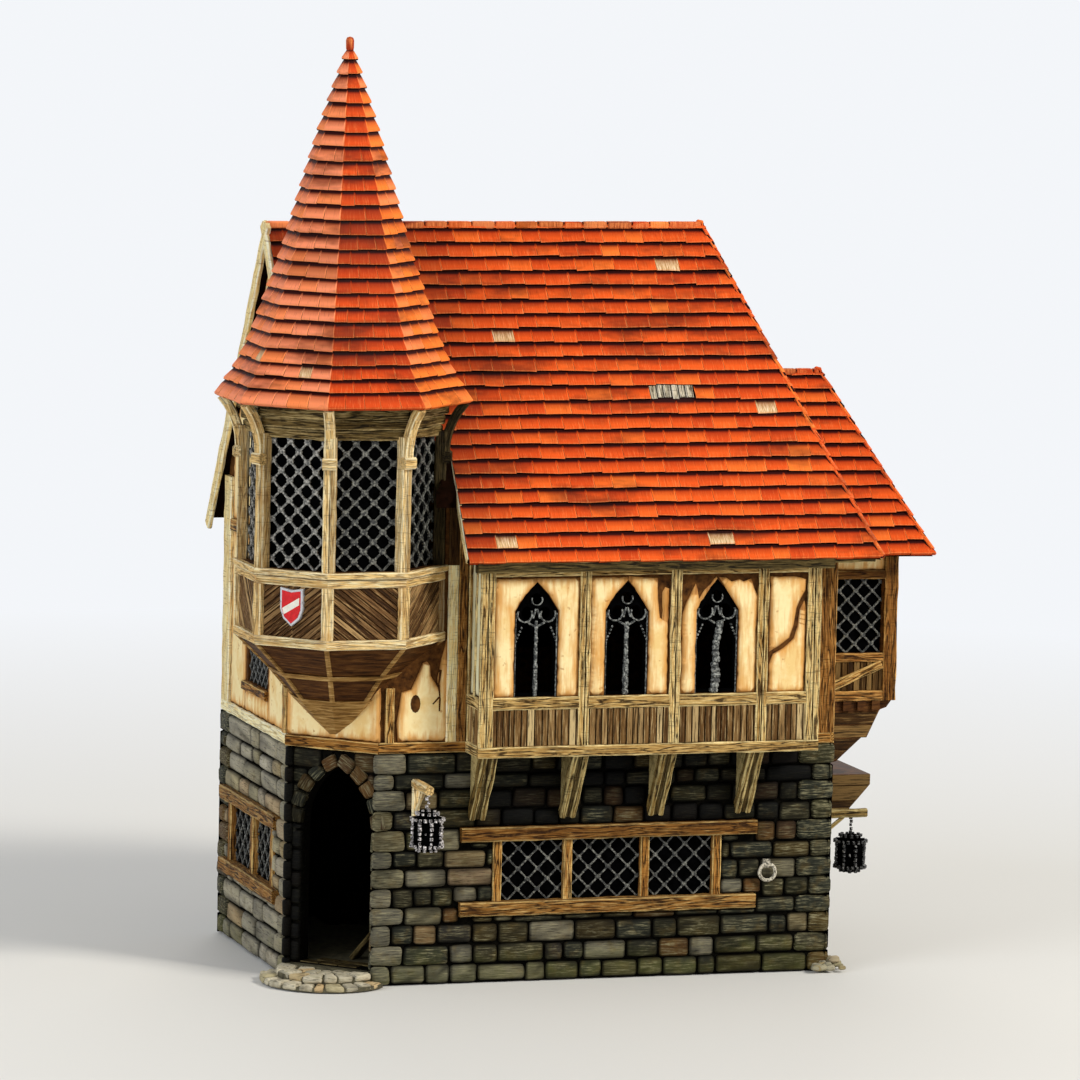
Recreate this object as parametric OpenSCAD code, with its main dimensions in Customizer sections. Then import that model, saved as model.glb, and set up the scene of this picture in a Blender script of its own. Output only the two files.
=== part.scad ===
// Half-timbered corner house with a turret, a jettied bay and an oriel.
// A gaming miniature: stone below, plaster and timber above, tiled roofs.
// The front faces -Y and the cut corner with the doorway is at the front left.
// Inside the modules x runs along the front from the left wall and y runs back from the front wall.

/* [Stone storey] */
// Length of the stone storey along the front
body_l = 153; // [150:1:165]
// Depth of the stone storey, front to back
body_d = 91; // [88:1:100]
// Height of the stone storey
stone_h = 64; // [60:1:72]
// Thickness of the stone walls
wall_t = 5; // [4:0.5:6]
// How far the door corner is cut back along each wall
corner_cut = 20; // [19:1:22]
// Thickness of the ground floor
floor_t = 4; // [3:0.5:5]
// Height of a course of stones
stone_course = 5.6; // [5:0.1:6.4]
// Depth of the joints between the courses
joint_d = 0.8; // [0.4:0.1:1.2]

/* [Doorway] */
// Clear width of the doorway
door_w = 21.8; // [19:0.2:22]
// How far the door wall lies behind the quoins
door_recess = 2.5; // [1.5:0.5:3]
// Height of the arch's point below the top of the stone
door_drop = 4.5; // [4:0.5:8]
// Height of the arch, springing to point
door_rise = 17; // [14:1:20]
// Radius of the lower step
step_r = 18.5; // [17:0.5:20]

/* [Stone storey's windows] */
// Height of the sill's top over the ground
win_sill = 22.4; // [20:0.2:24]
// Distance of the lintel's underside below the top of the stone
win_drop = 24.8; // [23:0.2:26]
// Height of a sill or lintel beam
beam_h = 3.9; // [3:0.1:5]
// How far a beam is let into the stone
beam_in = 2.5; // [2:0.5:3]
// How far a beam stands out of the stone
beam_out = 1; // [0.6:0.2:1.6]
// Width of a window post
mullion_w = 2.5; // [2:0.1:3]

/* [Upper storey] */
// Height of the upper storey, floor line to eave
upper_h = 54; // [50:1:60]
// Thickness of the plastered walls
infill_t = 3; // [2.5:0.5:3.5]
// How far the plaster lies behind the stone face
inset = 1.5; // [1.5:0.1:1.8]
// How far the timbers stand out of the plaster
proud = 1.2; // [0.8:0.1:1.4]
// Thickness of the upper floor
deck_t = 3; // [2:0.5:3.5]
// Height of the beams at the foot of the upper walls
sole_h = 3; // [2.6:0.2:3.6]

/* [Bay] */
// How far the bay stands out over the stone wall
jetty = 12; // [10:0.5:14]
// Distance of the bay's left end from the left wall
bay_start = 45.5; // [44:0.5:48]
// Distance of the bay's right end from the right wall
bay_end = 9.5; // [9:0.5:13]
// Height of the pointed windows' sills over the stone
bay_sill = 16.5; // [15:0.5:18]
// Width of a pointed window
lancet_w = 12.4; // [11:0.2:13]
// Height of a pointed window's head
lancet_rise = 8; // [7:0.5:10]
// Width of a middle post
stud_w = 3.1; // [2.6:0.1:3.6]
// Width of a bracket under the bay
bracket_w = 5; // [4:0.5:6]

/* [Main roof] */
// Height of the main ridge over the eave
roof_rise = 88.5; // [80:0.5:94]
// How far the front eave stands out past the bay
eave_out = 3.5; // [2.5:0.5:5]
// How far the back eave stands out past the back wall
back_out = 12.5; // [10:0.5:15]
// How far the right eave stands out past the stone
end_out = 7.5; // [6:0.5:9]
// How far the tiles stand out past the gable at the left
verge_out = 2; // [1.6:0.2:4]
// Thickness of the roof slopes
roof_t = 3; // [2.5:0.5:3.5]
// Run of the steep hip at the right end
hip_run = 34.7; // [30:0.1:38]
// Height of a course of tiles, up the slope
tile_course = 5.1; // [4.6:0.1:5.8]
// How far a tile's lower edge stands out of the course below
tile_step = 0.8; // [0.4:0.1:1.1]

/* [Turret] */
// Distance of the turret's axis from the front and left walls
turret_set = 12.5; // [12:0.5:13]
// Corner radius of the turret
turret_r = 28.7; // [27.9:0.1:30]
// Height of the turret's underside over the stone storey
turret_up = 30.7; // [29:0.1:32]
// Height of the plank panels with their band and sill
apron_h = 20.9; // [19:0.1:22]
// Height of the turret, underside to eave
turret_h = 65.2; // [62:0.1:68]
// Corner radius of the spire's eave
spire_r = 35.6; // [35:0.1:38]
// Height of the spire over its eave
spire_h = 98.4; // [88:0.2:106]

/* [Oriel] */
// How far the oriel stands out from the right wall
oriel_out = 26; // [22:1:28]
// Width of the oriel
oriel_w = 55; // [50:1:58]
// Height of the oriel's floor over the stone storey
oriel_up = 9; // [8:0.5:10]
// Height of the oriel's ridge over the main eave
oriel_rise = 46.8; // [44:0.2:50]

/* [Fittings] */
// Radius of a lantern's cage
lantern_r = 4.8; // [4:0.1:5]
// Height of a lantern's cage
lantern_h = 8; // [7:0.5:9]
// Radius of the iron ring, to the middle of its wire
ring_r = 2.3; // [2:0.1:3]

/* [Hidden] */

far = 400;
eps = 1;
mitre = sqrt(2) - 1;
in_cut = corner_cut + wall_t * mitre;
door_wall_t = 4.5;
door_back = corner_cut + (door_recess + door_wall_t) * sqrt(2) - wall_t;
win_head = stone_h - win_drop;

eave_z = stone_h + upper_h;
ridge_z = eave_z + roof_rise;
ridge_y = body_d / 2;
front_eave_y = -jetty - eave_out;
back_eave_y = body_d + back_out;
right_eave_x = body_l + end_out;
front_slope = roof_rise / (ridge_y - front_eave_y);
back_slope = roof_rise / (back_eave_y - ridge_y);
hip_slope = roof_rise / hip_run;
flush_eave_y = -2.5;
bay_verge_x = bay_start - 4.6;

wall_x1 = body_l - inset;
wall_y1 = body_d - inset;
cut_u = corner_cut + inset * mitre;
bay_x1 = body_l - bay_end;
bay_l = bay_x1 - bay_start;
bay_sill_z = stone_h + bay_sill;
bay_head_z = eave_z - 4.4;
rail_h = 3.4;
post_w = 4;

turret_z = stone_h + turret_up;
turret_sill_z = turret_z + apron_h;
turret_eave_z = turret_z + turret_h;
turret_head_z = turret_eave_z - 8.8;
flat = cos(22.5);

oriel_x1 = wall_x1 + oriel_out;
oriel_y0 = ridge_y - oriel_w / 2;
oriel_y1 = ridge_y + oriel_w / 2;
oriel_z0 = stone_h + oriel_up;
oriel_z1 = eave_z - 2.3;
oriel_sill_z = oriel_z0 + 13.5;
oriel_head_z = oriel_z1 - 8.2;

// Box from corner to corner.
module blk(x0, x1, y0, y1, z0, z1) {
    translate([x0, y0, z0]) cube([x1 - x0, y1 - y0, z1 - z0]);
}

// Moves a piece into the part's frame, whose origin is the middle of the plan.
module place() { translate([-body_l / 2, -body_d / 2, 0]) children(); }

// A profile in the Y-Z plane drawn out along X.
module along_x(x0, x1) {
    translate([x0, 0, 0]) rotate([90, 0, 90]) linear_extrude(x1 - x0) children();
}

// A profile in the X-Z plane drawn out along Y.
module along_y(y0, y1) {
    translate([0, y1, 0]) rotate([90, 0, 0]) linear_extrude(y1 - y0) children();
}

// Frames of the other faces: x along the wall, y inwards, as on the front.
module on_left() { mirror([1, -1, 0]) children(); }
module on_back() { translate([0, body_d, 0]) mirror([0, 1, 0]) children(); }
module on_right() { translate([body_l, 0, 0]) rotate([0, 0, 90]) children(); }
module at_door() { translate([corner_cut / 2, corner_cut / 2, 0]) rotate([0, 0, -45]) children(); }
module at_turret() { translate([turret_set, turret_set, 0]) children(); }

// Space under the two long slopes, t below the face of the tiles.
module pitch_space(t) {
    front_drop = t * sqrt(1 + front_slope * front_slope);
    back_drop = t * sqrt(1 + back_slope * back_slope);
    top_y = ridge_y + (front_drop - back_drop) / (front_slope + back_slope);
    along_x(-far, far) polygon([
        [front_eave_y - (eave_z + far / 2 - front_drop) / front_slope, -far / 2],
        [top_y, ridge_z + front_slope * (top_y - ridge_y) - front_drop],
        [back_eave_y + (eave_z + far / 2 - back_drop) / back_slope, -far / 2]]);
}

// Space under the hip, t below the face of the tiles.
module hip_space(t) {
    drop = t * sqrt(1 + hip_slope * hip_slope);
    along_y(-far, far) polygon([[-far, -far / 2],
        [right_eave_x + (eave_z + far / 2 - drop) / hip_slope, -far / 2],
        [right_eave_x - (far - eave_z + drop) / hip_slope, far], [-far, far]]);
}

module under_roof(t) {
    intersection() {
        pitch_space(t);
        hip_space(t);
    }
}

// A slope in courses of tiles, from a at the eave to b at the ridge, whose last stretch is the cap.
// Each tile's lower edge stands at the face, and its upper end lies tile_step inside it.
cap_h = 2.4;
function coursed(a, b, out) =
    let (run = norm(b - a), up = (b - a) / run, n = round((run - cap_h) / tile_course), h = (run - cap_h) / n)
    concat([for (i = [0:n - 1], k = [0, 1]) a + up * h * (i + k) - out * tile_step * k], [b - up * cap_h]);

function reversed(points) = [for (i = [len(points) - 1:-1:0]) points[i]];

// Space under the tiles of two slopes that meet in a ridge. The eaves are equally high.
module tiled_pitch(front, ridge, back) {
    front_out = [front[1] - ridge[1], ridge[0] - front[0]] / norm(ridge - front);
    back_out = [ridge[1] - back[1], back[0] - ridge[0]] / norm(ridge - back);
    polygon(concat([[front[0], 0]], coursed(front, ridge, front_out), [ridge],
        reversed(coursed(back, ridge, back_out)), [[back[0], 0]]));
}

// Space under the tiles of a hip at the right end.
module tiled_hip(foot, top) {
    out = [top[1] - foot[1], foot[0] - top[0]] / norm(top - foot);
    polygon(concat([[-far, 0], [foot[0], 0]], coursed(foot, top, out), [top, [top[0], far], [-far, far]]));
}

// Keeps what lies under the roof slabs.
module roofed() {
    intersection() {
        children();
        under_roof(roof_t);
    }
}

// Plan of the upper storey inside its plaster face, without the bay.
module house_plan(d = 0) {
    polygon([[cut_u + d * mitre, inset + d], [wall_x1 - d, inset + d], [wall_x1 - d, wall_y1 - d],
        [inset + d, wall_y1 - d], [inset + d, cut_u + d * mitre]]);
}

module octagon(r) { rotate(22.5) circle(r, $fn = 8); }

module octo_ring(r_out, r_in, z0, z1) {
    at_turret() translate([0, 0, z0]) linear_extrude(z1 - z0) difference() {
        octagon(r_out);
        octagon(r_in);
    }
}

// Turns a piece to each of the turret's corners in a list.
module at_corners(corners) {
    at_turret() for (k = corners) rotate([0, 0, 22.5 + 45 * k]) children();
}

// Eight-sided solid about the turret's axis. Each point of the profile is a corner radius and a height.
module octo_solid(profile) {
    right = [for (p = profile) [p[0] * flat, p[1]]];
    left = [for (i = [len(profile) - 1:-1:0]) [-profile[i][0] * flat, profile[i][1]]];
    at_turret() intersection_for(a = [0:45:135])
        rotate([0, 0, a]) along_y(-far / 2, far / 2) polygon(concat(right, left));
}

// The turret's body, cut out of the walls and the roof.
module turret_void(d, z1) {
    at_turret() translate([0, 0, turret_z]) linear_extrude(z1 - turret_z) octagon(turret_r + d);
}

// Keeps what stands outside the walls and over the roof's underside.
module outside_house() {
    difference() {
        children();
        intersection() {
            under_roof(roof_t);
            linear_extrude(far) house_plan();
        }
    }
}

// Stone storey

// One wall of the stone storey: between two corners of the plan, mitred at both ends.
module stone_wall(outer, inner) {
    linear_extrude(stone_h) polygon([outer[0], outer[1], inner[1], inner[0]]);
}

// Joints between the courses of the wall along the front, from the ground up to a height.
joint_h = 0.9;
stone_courses = round(stone_h / stone_course);
module course_joints(top = stone_h - joint_h) {
    h = stone_h / stone_courses;
    for (i = [1:stone_courses - 1]) if (i * h < top) translate([0, 0, i * h]) along_x(-far / 4, far)
        polygon([[-eps, -joint_h / 2], [0, -joint_h / 2], [joint_d, 0],
            [0, joint_h / 2], [-eps, joint_h / 2]]);
}

c_door_f = [corner_cut, 0];
c_door_l = [0, corner_cut];
c_fr = [body_l, 0];
c_br = [body_l, body_d];
c_bl = [0, body_d];
i_door_f = [in_cut, wall_t];
i_door_l = [wall_t, in_cut];
i_fr = [body_l - wall_t, wall_t];
i_br = [body_l - wall_t, body_d - wall_t];
i_bl = [wall_t, body_d - wall_t];

// A window: its beams' ends along the wall, and where its posts stand between the first and the last.
front_win = [bay_start - 0.8, body_l - 22.6];
left_win = [corner_cut + 7.8, body_d - 4.5];
back_win = [body_l - 68, body_l - 12];
front_posts = [0, 0.32, 0.67, 1];
left_posts = [0, 0.47, 1];
back_posts = [0, 0.5, 1];
post_end = 10;
left_post_end = 5.4;
post_back = 0.4;

module window_beams(win) {
    blk(win[0], win[1], -beam_out, beam_in, win_sill - beam_h, win_sill);
    blk(win[0], win[1], -beam_out, beam_in, win_head, win_head + beam_h);
}

module window_hole(win, end) {
    window_beams(win);
    blk(win[0] + end, win[1] - end, -eps, wall_t + eps, win_sill, win_head);
}

module window_timbers(win, end, posts) {
    window_beams(win);
    run = win[1] - win[0] - 2 * end - mullion_w;
    for (p = posts) {
        x = win[0] + end + p * run;
        blk(x, x + mullion_w, post_back, beam_in, win_sill, win_head);
    }
}

module window_pane(win, end) {
    blk(win[0] + end, win[1] - end, beam_in, beam_in + 1, win_sill, win_head);
}

module ground_floor() {
    color("DimGray") place() linear_extrude(floor_t)
        polygon([[door_back, wall_t], i_fr, i_br, i_bl, [wall_t, door_back]]);
}

// Two half-round steps and the threshold between the quoins.
tread = 3.9;
module door_step() {
    reach = corner_cut / sqrt(2) - door_recess * mitre - 0.1;
    color("DimGray") place() at_door() {
        difference() {
            union() {
                cylinder(h = floor_t / 2, r = step_r, $fn = 64);
                cylinder(h = floor_t, r = step_r - tread, $fn = 64);
            }
            blk(-far, far, 0, far, -eps, far);
        }
        blk(-reach, reach, 0, door_recess, 0, floor_t);
    }
}

module stone_wall_front() {
    color("DimGray") place() difference() {
        stone_wall([c_door_f, c_fr], [i_door_f, i_fr]);
        window_hole(front_win, post_end);
        course_joints();
    }
}

module stone_wall_left() {
    color("DimGray") place() difference() {
        stone_wall([c_door_l, c_bl], [i_door_l, i_bl]);
        on_left() {
            window_hole(left_win, left_post_end);
            course_joints();
        }
    }
}

module stone_wall_back() {
    color("DimGray") place() difference() {
        stone_wall([c_bl, c_br], [i_bl, i_br]);
        on_back() {
            window_hole(back_win, post_end);
            course_joints();
        }
    }
}

module stone_wall_right() {
    color("DimGray") place() difference() {
        stone_wall([c_fr, c_br], [i_fr, i_br]);
        on_right() course_joints();
    }
}

// The arch is drawn as two arcs that spring plumb from the jambs and meet in a point.
arch_r = (door_w * door_w / 4 + door_rise * door_rise) / door_w;
arch_end = asin(door_rise / arch_r);
module door_outline() {
    spring = stone_h - door_drop - door_rise;
    right = [for (i = [0:8]) let (a = i * arch_end / 8)
        [door_w / 2 - arch_r + arch_r * cos(a), spring + arch_r * sin(a)]];
    left = [for (i = [7:-1:0]) [-right[i][0], right[i][1]]];
    polygon(concat([[-door_w / 2, floor_t], [door_w / 2, floor_t]], right, left));
}

// Joints between the wedge stones of the arch, square to its two arcs.
wedges = 5;
wedge_h = 4;
module arch_joints() {
    spring = stone_h - door_drop - door_rise;
    for (side = [0, 1], i = [0:wedges]) mirror([side, 0, 0]) translate([door_w / 2 - arch_r, 0, spring])
        rotate([0, -arch_end * i / wedges, 0]) translate([arch_r - eps, -eps, -joint_h / 2])
            cube([wedge_h + eps, eps + joint_d, joint_h]);
}

// The doorway lies a little to the right of the corner's middle.
door_shift = 1.1;
module door_wall() {
    a = door_recess;
    color("DimGray") place() difference() {
        linear_extrude(stone_h) polygon([
            [a, corner_cut + a * mitre], [corner_cut + a * mitre, a],
            [in_cut, wall_t], [door_back, wall_t], [wall_t, door_back], [wall_t, in_cut]]);
        at_door() translate([door_shift, 0, 0]) along_y(-far / 8, far / 8) door_outline();
        at_door() translate([door_shift, door_recess, 0]) arch_joints();
        at_door() translate([0, door_recess, 0]) course_joints(stone_h - door_drop - door_rise);
    }
}

// Stair along the back wall, seen through the doorway.
stair_steps = 13;
stair_x = 28;
stair_run = 56;
stair_w = 14;
module stair_flight() {
    rise = (stone_h - floor_t) / stair_steps;
    run = stair_run / stair_steps;
    y1 = body_d - wall_t;
    color("Peru") place() along_y(y1 - stair_w, y1) polygon(concat(
        [[stair_x, floor_t]],
        [for (i = [0:stair_steps - 1], k = [0, 1])
            [stair_x + (i + k) * run, floor_t + (i + 1) * rise]],
        [[stair_x + stair_run, stone_h - 2 * rise], [stair_x + 2 * run, floor_t]]));
}

module stone_window_timbers() {
    color("Peru") place() {
        window_timbers(front_win, post_end, front_posts);
        on_left() window_timbers(left_win, left_post_end, left_posts);
        on_back() window_timbers(back_win, post_end, back_posts);
    }
}

module stone_window_panes() {
    color("DimGray") place() {
        window_pane(front_win, post_end);
        on_left() window_pane(left_win, left_post_end);
        on_back() window_pane(back_win, post_end);
    }
}

// Fittings

// A caged lantern that hangs from its hook at the origin.
hook_drop = 6.3;
module lantern() {
    top = -hook_drop;
    foot = top - lantern_h;
    bar = 0.9;
    translate([0, 0, top]) cylinder(h = hook_drop, r = 0.6, $fn = 16);
    translate([0, 0, top]) cylinder(h = 3, r = 1.4, $fn = 16);
    translate([0, 0, top]) linear_extrude(2.1) octagon(lantern_r * 0.7);
    translate([0, 0, top - 1]) linear_extrude(1) octagon(lantern_r);
    for (k = [0:7]) rotate([0, 0, 22.5 + 45 * k])
        translate([lantern_r - bar * 1.4, -bar / 2, foot]) cube([bar, bar, lantern_h]);
    translate([0, 0, (top + foot) / 2]) linear_extrude(0.8) difference() {
        octagon(lantern_r - 0.2);
        octagon(lantern_r - 1.4);
    }
    translate([0, 0, foot]) linear_extrude(1) octagon(lantern_r);
    translate([0, 0, foot]) cylinder(h = lantern_h, r = lantern_r * 0.4, $fn = 16);
    translate([0, 0, foot - 1.2]) cylinder(h = 1.2, r = lantern_r * 0.55, $fn = 16);
    translate([0, 0, foot - 2.4]) cylinder(h = 1.2, r = lantern_r * 0.2, $fn = 16);
}

// Arm that stands out of the wall along -Y, with a strut under it and a plate against the wall.
arm_t = 2.4;
module lantern_arm(reach, drop) {
    blk(-arm_t / 2, arm_t / 2, -reach, 0, -arm_t, 0);
    blk(-arm_t / 2, arm_t / 2, -arm_t / 2, 0, -drop, -arm_t);
    along_x(-arm_t * 0.4, arm_t * 0.4) polygon([[-arm_t / 2, -drop + 1], [-arm_t / 2, -drop + 3.4],
        [-reach * 0.62, -arm_t], [-reach * 0.62 - 2, -arm_t]]);
}

door_lamp = [31.4, 12];
door_lamp_z = stone_h - 7;
side_lamp = [19, 12.5];
side_lamp_z = stone_h - 21.8;

module door_lantern() {
    color("DimGray") place() translate([door_lamp[0], -door_lamp[1], door_lamp_z - arm_t]) lantern();
}

module door_lantern_bracket() {
    color("Peru") place() translate([door_lamp[0], 0, door_lamp_z]) lantern_arm(door_lamp[1] + 1.6, 11);
}

module side_lantern() {
    color("DimGray") place() on_right()
        translate([side_lamp[0], -side_lamp[1], side_lamp_z - arm_t]) lantern();
}

module side_lantern_bracket() {
    color("Peru") place() on_right()
        translate([side_lamp[0], 0, side_lamp_z]) lantern_arm(side_lamp[1] + 4.6, 12);
}

module tether_ring() {
    wire = 0.5;
    z = stone_h - 33.2;
    color("DimGray") place() translate([body_l - 19.5, 0, z]) {
        blk(-1, 1, -0.8, 0, -1.2, 1.2);
        blk(-0.5, 0.5, -1.8, -0.8, -0.6, 0.9);
        translate([0, -1.3, -ring_r]) rotate([90, 0, 0]) rotate_extrude($fn = 40)
            translate([ring_r, 0]) circle(wire, $fn = 16);
    }
}

// Board bracket on the right wall over the lantern.
hood_y = [30, 60];
hood_out = 22;
hood_h = 16;
module side_hood() {
    z = stone_h - 13.8;
    color("Peru") place() on_right() along_x(hood_y[0], hood_y[1]) polygon([[0, z], [-hood_out, z],
        [-hood_out, z - 3], [-hood_out * 0.7, z - hood_h * 0.65], [-hood_out * 0.64, z - hood_h * 0.65],
        [0, z - hood_h]]);
}

// Upper storey

module upper_floor() {
    well_y = body_d - wall_t - stair_w - 0.6;
    color("Peru") place() difference() {
        translate([0, 0, stone_h]) linear_extrude(deck_t) union() {
            house_plan(infill_t);
            translate([bay_start + proud + infill_t, proud + infill_t - jetty])
                square([bay_l - 2 * (proud + infill_t), jetty + inset]);
        }
        blk(stair_x + 6, stair_x + stair_run + 1.5, well_y, wall_y1 - infill_t + eps, stone_h - eps, far);
    }
}

// Beams round the foot of the flush walls.
module sole_beams() {
    color("Peru") place() translate([0, 0, stone_h]) linear_extrude(sole_h) difference() {
        house_plan(-proud);
        house_plan(0);
        translate([bay_start, -far / 2]) square([bay_l, far / 2 + inset + 0.01]);
    }
}

left_win_y = [corner_cut + 25, corner_cut + 46];
left_win_z = [stone_h + 11.5, stone_h + 21.5];

module left_upper_wall() {
    color("Wheat") place() difference() {
        roofed() blk(inset, inset + infill_t, cut_u, wall_y1, stone_h, far);
        on_left() blk(left_win_y[0], left_win_y[1], -eps, far, left_win_z[0], left_win_z[1]);
        turret_void(0, far);
    }
}

// Cut corner and the flush piece at the left of the bay.
module corner_upper_wall() {
    color("Wheat") place() difference() {
        roofed() union() {
            translate([0, 0, stone_h]) linear_extrude(turret_up) polygon([[cut_u, inset],
                [cut_u + infill_t, inset], [cut_u + infill_t, inset + infill_t], [cut_u, inset + infill_t],
                [inset + infill_t, cut_u], [inset, cut_u]]);
            blk(cut_u + infill_t, bay_start + proud + infill_t, inset, inset + infill_t, stone_h, far);
        }
        turret_void(0, far);
    }
}

// Right wall, turned round the front corner as far as the bay.
module right_upper_wall() {
    color("Wheat") place() difference() {
        roofed() union() {
            blk(wall_x1 - infill_t, wall_x1, inset, wall_y1, stone_h, far);
            blk(bay_x1 - proud - infill_t, wall_x1 - infill_t, inset, inset + infill_t, stone_h, far);
        }
        blk(wall_x1 - far / 2, far, oriel_y0 + 6, oriel_y1 - 6, oriel_z0 + 3, oriel_head_z);
    }
}

back_win_x = [51, 85];
back_win_w = 12;
back_win_h = 22;
module back_upper_wall() {
    color("Wheat") place() difference() {
        roofed() blk(inset + infill_t, wall_x1 - infill_t, wall_y1 - infill_t, wall_y1, stone_h, far);
        for (x = back_win_x)
            blk(x, x + back_win_w, wall_y1 - far / 4, far, bay_sill_z, bay_sill_z + back_win_h);
    }
}

module upper_window_panes() {
    deep = inset + 1;
    color("DimGray") place() {
        on_left() blk(left_win_y[0], left_win_y[1], deep, deep + 1, left_win_z[0], left_win_z[1]);
        for (x = back_win_x)
            on_back() blk(x, x + back_win_w, deep, deep + 1, bay_sill_z, bay_sill_z + back_win_h);
        for (y = [oriel_y0 + proud + 1, oriel_y1 - proud - 2])
            blk(oriel_side[0], oriel_side[1], y, y + 1, oriel_sill_z, oriel_head_z);
        for (y = oriel_light)
            blk(oriel_x1 - proud - 2, oriel_x1 - proud - 1, y[0], y[1], oriel_sill_z, oriel_head_z);
    }
}

// A plumb post and a level rail on a wall's face.
module frame_post(x, w, z0) { blk(x, x + w, inset - proud, inset, z0, far); }
module frame_rail(x0, x1, z, h) { blk(x0, x1, inset - proud, inset, z, z + h); }

// Timbers on the plaster of the flush walls.
gable_rail = 36;
corner_post_w = 7;
module flush_frames() {
    z0 = stone_h + sole_h;
    gable_z = eave_z - 2;
    back_end = wall_y1 + proud - corner_post_w;
    seam = 0.3;
    back0 = inset + seam;
    back1 = wall_x1 - seam;
    color("Peru") place() roofed() {
        difference() {
            on_left() {
                frame_post(cut_u + 2, 3, z0);
                frame_post(back_end, corner_post_w, z0);
                frame_rail(cut_u + 5, back_end, gable_z, rail_h);
                frame_rail(cut_u + 5, back_end, gable_z + gable_rail, rail_h);
                frame_post(ridge_y - 2, post_w, gable_z + rail_h);
                frame_rail(left_win_y[0] - 2, left_win_y[1] + 2, left_win_z[0] - 2.6, 2.6);
                frame_rail(left_win_y[0] - 2, left_win_y[1] + 2, left_win_z[1], 2);
            }
            turret_void(1, far);
            corbel_solid(rib_out);
        }
        difference() {
            union() {
                frame_post(cut_u + 2.2, 2.4, z0);
                frame_post(bay_start - 5.3, 2.5, z0);
                frame_post(bay_start - 2.6, 2.6, z0);
            }
            turret_void(1, far);
            corbel_solid(rib_out);
        }
        frame_post(bay_x1, 3.6, z0);
        blk(wall_x1 - post_w, wall_x1 + proud, inset - proud, inset, z0, far);
        blk(wall_x1, wall_x1 + proud, inset, inset + post_w, z0, far);
        blk(wall_x1, wall_x1 + proud, wall_y1 - post_w, wall_y1, z0, far);
        on_back() {
            for (i = [0:4]) frame_post(back0 + i * (back1 - back0 - post_w) / 4, post_w, z0);
            frame_rail(back0, back1, bay_sill_z - rail_h, rail_h);
            frame_rail(back0, back1, gable_z - rail_h, rail_h);
        }
    }
}

// Bay

// Left edges of the bay's posts and the windows' axes, measured from its left end.
bay_studs = [0.288, 0.554, 0.812] * bay_l;
bay_lights = [0.164, 0.428, 0.693] * bay_l;
lancet_h = upper_h - 22.5;

module lancet(w, h) {
    polygon([[-w / 2, 0], [w / 2, 0], [w / 2, h - lancet_rise], [w * 0.28, h - lancet_rise * 0.46], [0, h],
        [-w * 0.28, h - lancet_rise * 0.46], [-w / 2, h - lancet_rise]]);
}

module bay_front_wall() {
    y0 = proud - jetty;
    color("Wheat") place() difference() {
        roofed() blk(bay_start + proud, bay_x1 - proud, y0, y0 + infill_t, stone_h, far);
        for (x = bay_lights) translate([bay_start + x, 0, bay_sill_z])
            along_y(-far / 4, far / 4) lancet(lancet_w, lancet_h);
    }
}

module bay_side_walls() {
    y0 = proud + infill_t - jetty;
    color("Wheat") place() roofed() {
        blk(bay_start + proud, bay_start + proud + infill_t, y0, inset, stone_h, far);
        blk(bay_x1 - proud - infill_t, bay_x1 - proud, y0, inset, stone_h, far);
    }
}

module bay_front_frame() {
    lefts = concat([0], bay_studs, [bay_l - post_w]);
    color("Peru") place() translate([bay_start, 0, 0]) intersection() {
        union() {
            for (i = [0:4]) {
                w = (i == 0 || i == 4) ? post_w : stud_w;
                blk(lefts[i], lefts[i] + w, -jetty, proud - jetty, stone_h + sole_h, bay_head_z);
            }
            blk(0, bay_l, -jetty, proud - jetty, stone_h, stone_h + sole_h);
            blk(0, bay_l, -jetty, proud - jetty, bay_sill_z - rail_h, bay_sill_z);
            blk(0, bay_l, -jetty, proud - jetty, bay_head_z, eave_z);
        }
        translate([-bay_start, 0, 0]) under_roof(roof_t);
    }
}

module bay_side_frames() {
    back = inset - proud;
    front = proud - jetty;
    color("Peru") place() roofed() for (x = [bay_start, bay_x1 - proud]) {
        blk(x, x + proud, front, back, stone_h, stone_h + sole_h);
        blk(x, x + proud, front, back, bay_sill_z - rail_h, bay_sill_z);
        blk(x, x + proud, front, front + 2.4, stone_h, far);
        blk(x, x + proud, (front + back) / 2 - 1, (front + back) / 2 + 1, stone_h, far);
        blk(x, x + proud, back - 3, back, stone_h, far);
    }
}

// Bar tracery of a pointed window: two cusped lights under three rings.
eye_r = 1.75;
light_rise = 3;
module light_outline(w, h) {
    knee = h - light_rise * 0.4;
    polygon([[-w / 2, 0], [w / 2, 0], [w / 2, h - light_rise], [w * 0.3, knee], [0, h],
        [-w * 0.3, knee], [-w / 2, h - light_rise]]);
}

module tracery() {
    bar = 1;
    light_w = (lancet_w - 3 * bar) / 2;
    eyes_z = lancet_h - lancet_rise - 0.6;
    difference() {
        lancet(lancet_w, lancet_h);
        for (s = [-1, 1]) {
            translate([s * (light_w + bar) / 2, bar]) light_outline(light_w, eyes_z - eye_r - 2 * bar);
            translate([s * (eye_r + bar * 0.7), eyes_z]) circle(eye_r, $fn = 24);
        }
        translate([0, eyes_z + 2 * eye_r + bar * 0.2]) circle(eye_r, $fn = 24);
    }
}

module bay_tracery() {
    y0 = proud - jetty + 0.6;
    color("DimGray") place() for (x = bay_lights) translate([bay_start + x, 0, bay_sill_z])
        along_y(y0, y0 + 1.4) tracery();
}

// Slanted struts that carry the bay.
bracket_h = 18.2;
module jetty_brackets() {
    foot = stone_h - bracket_h;
    color("Peru") place() for (p = [0.02, 0.285, 0.545, 0.805]) translate([bay_start + p * bay_l, 0, 0])
        along_x(0, bracket_w) polygon([[0, foot], [0, foot + 7], [-jetty * 0.6, stone_h],
            [-jetty + 0.4, stone_h], [-jetty * 0.12, foot]]);
}

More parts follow.
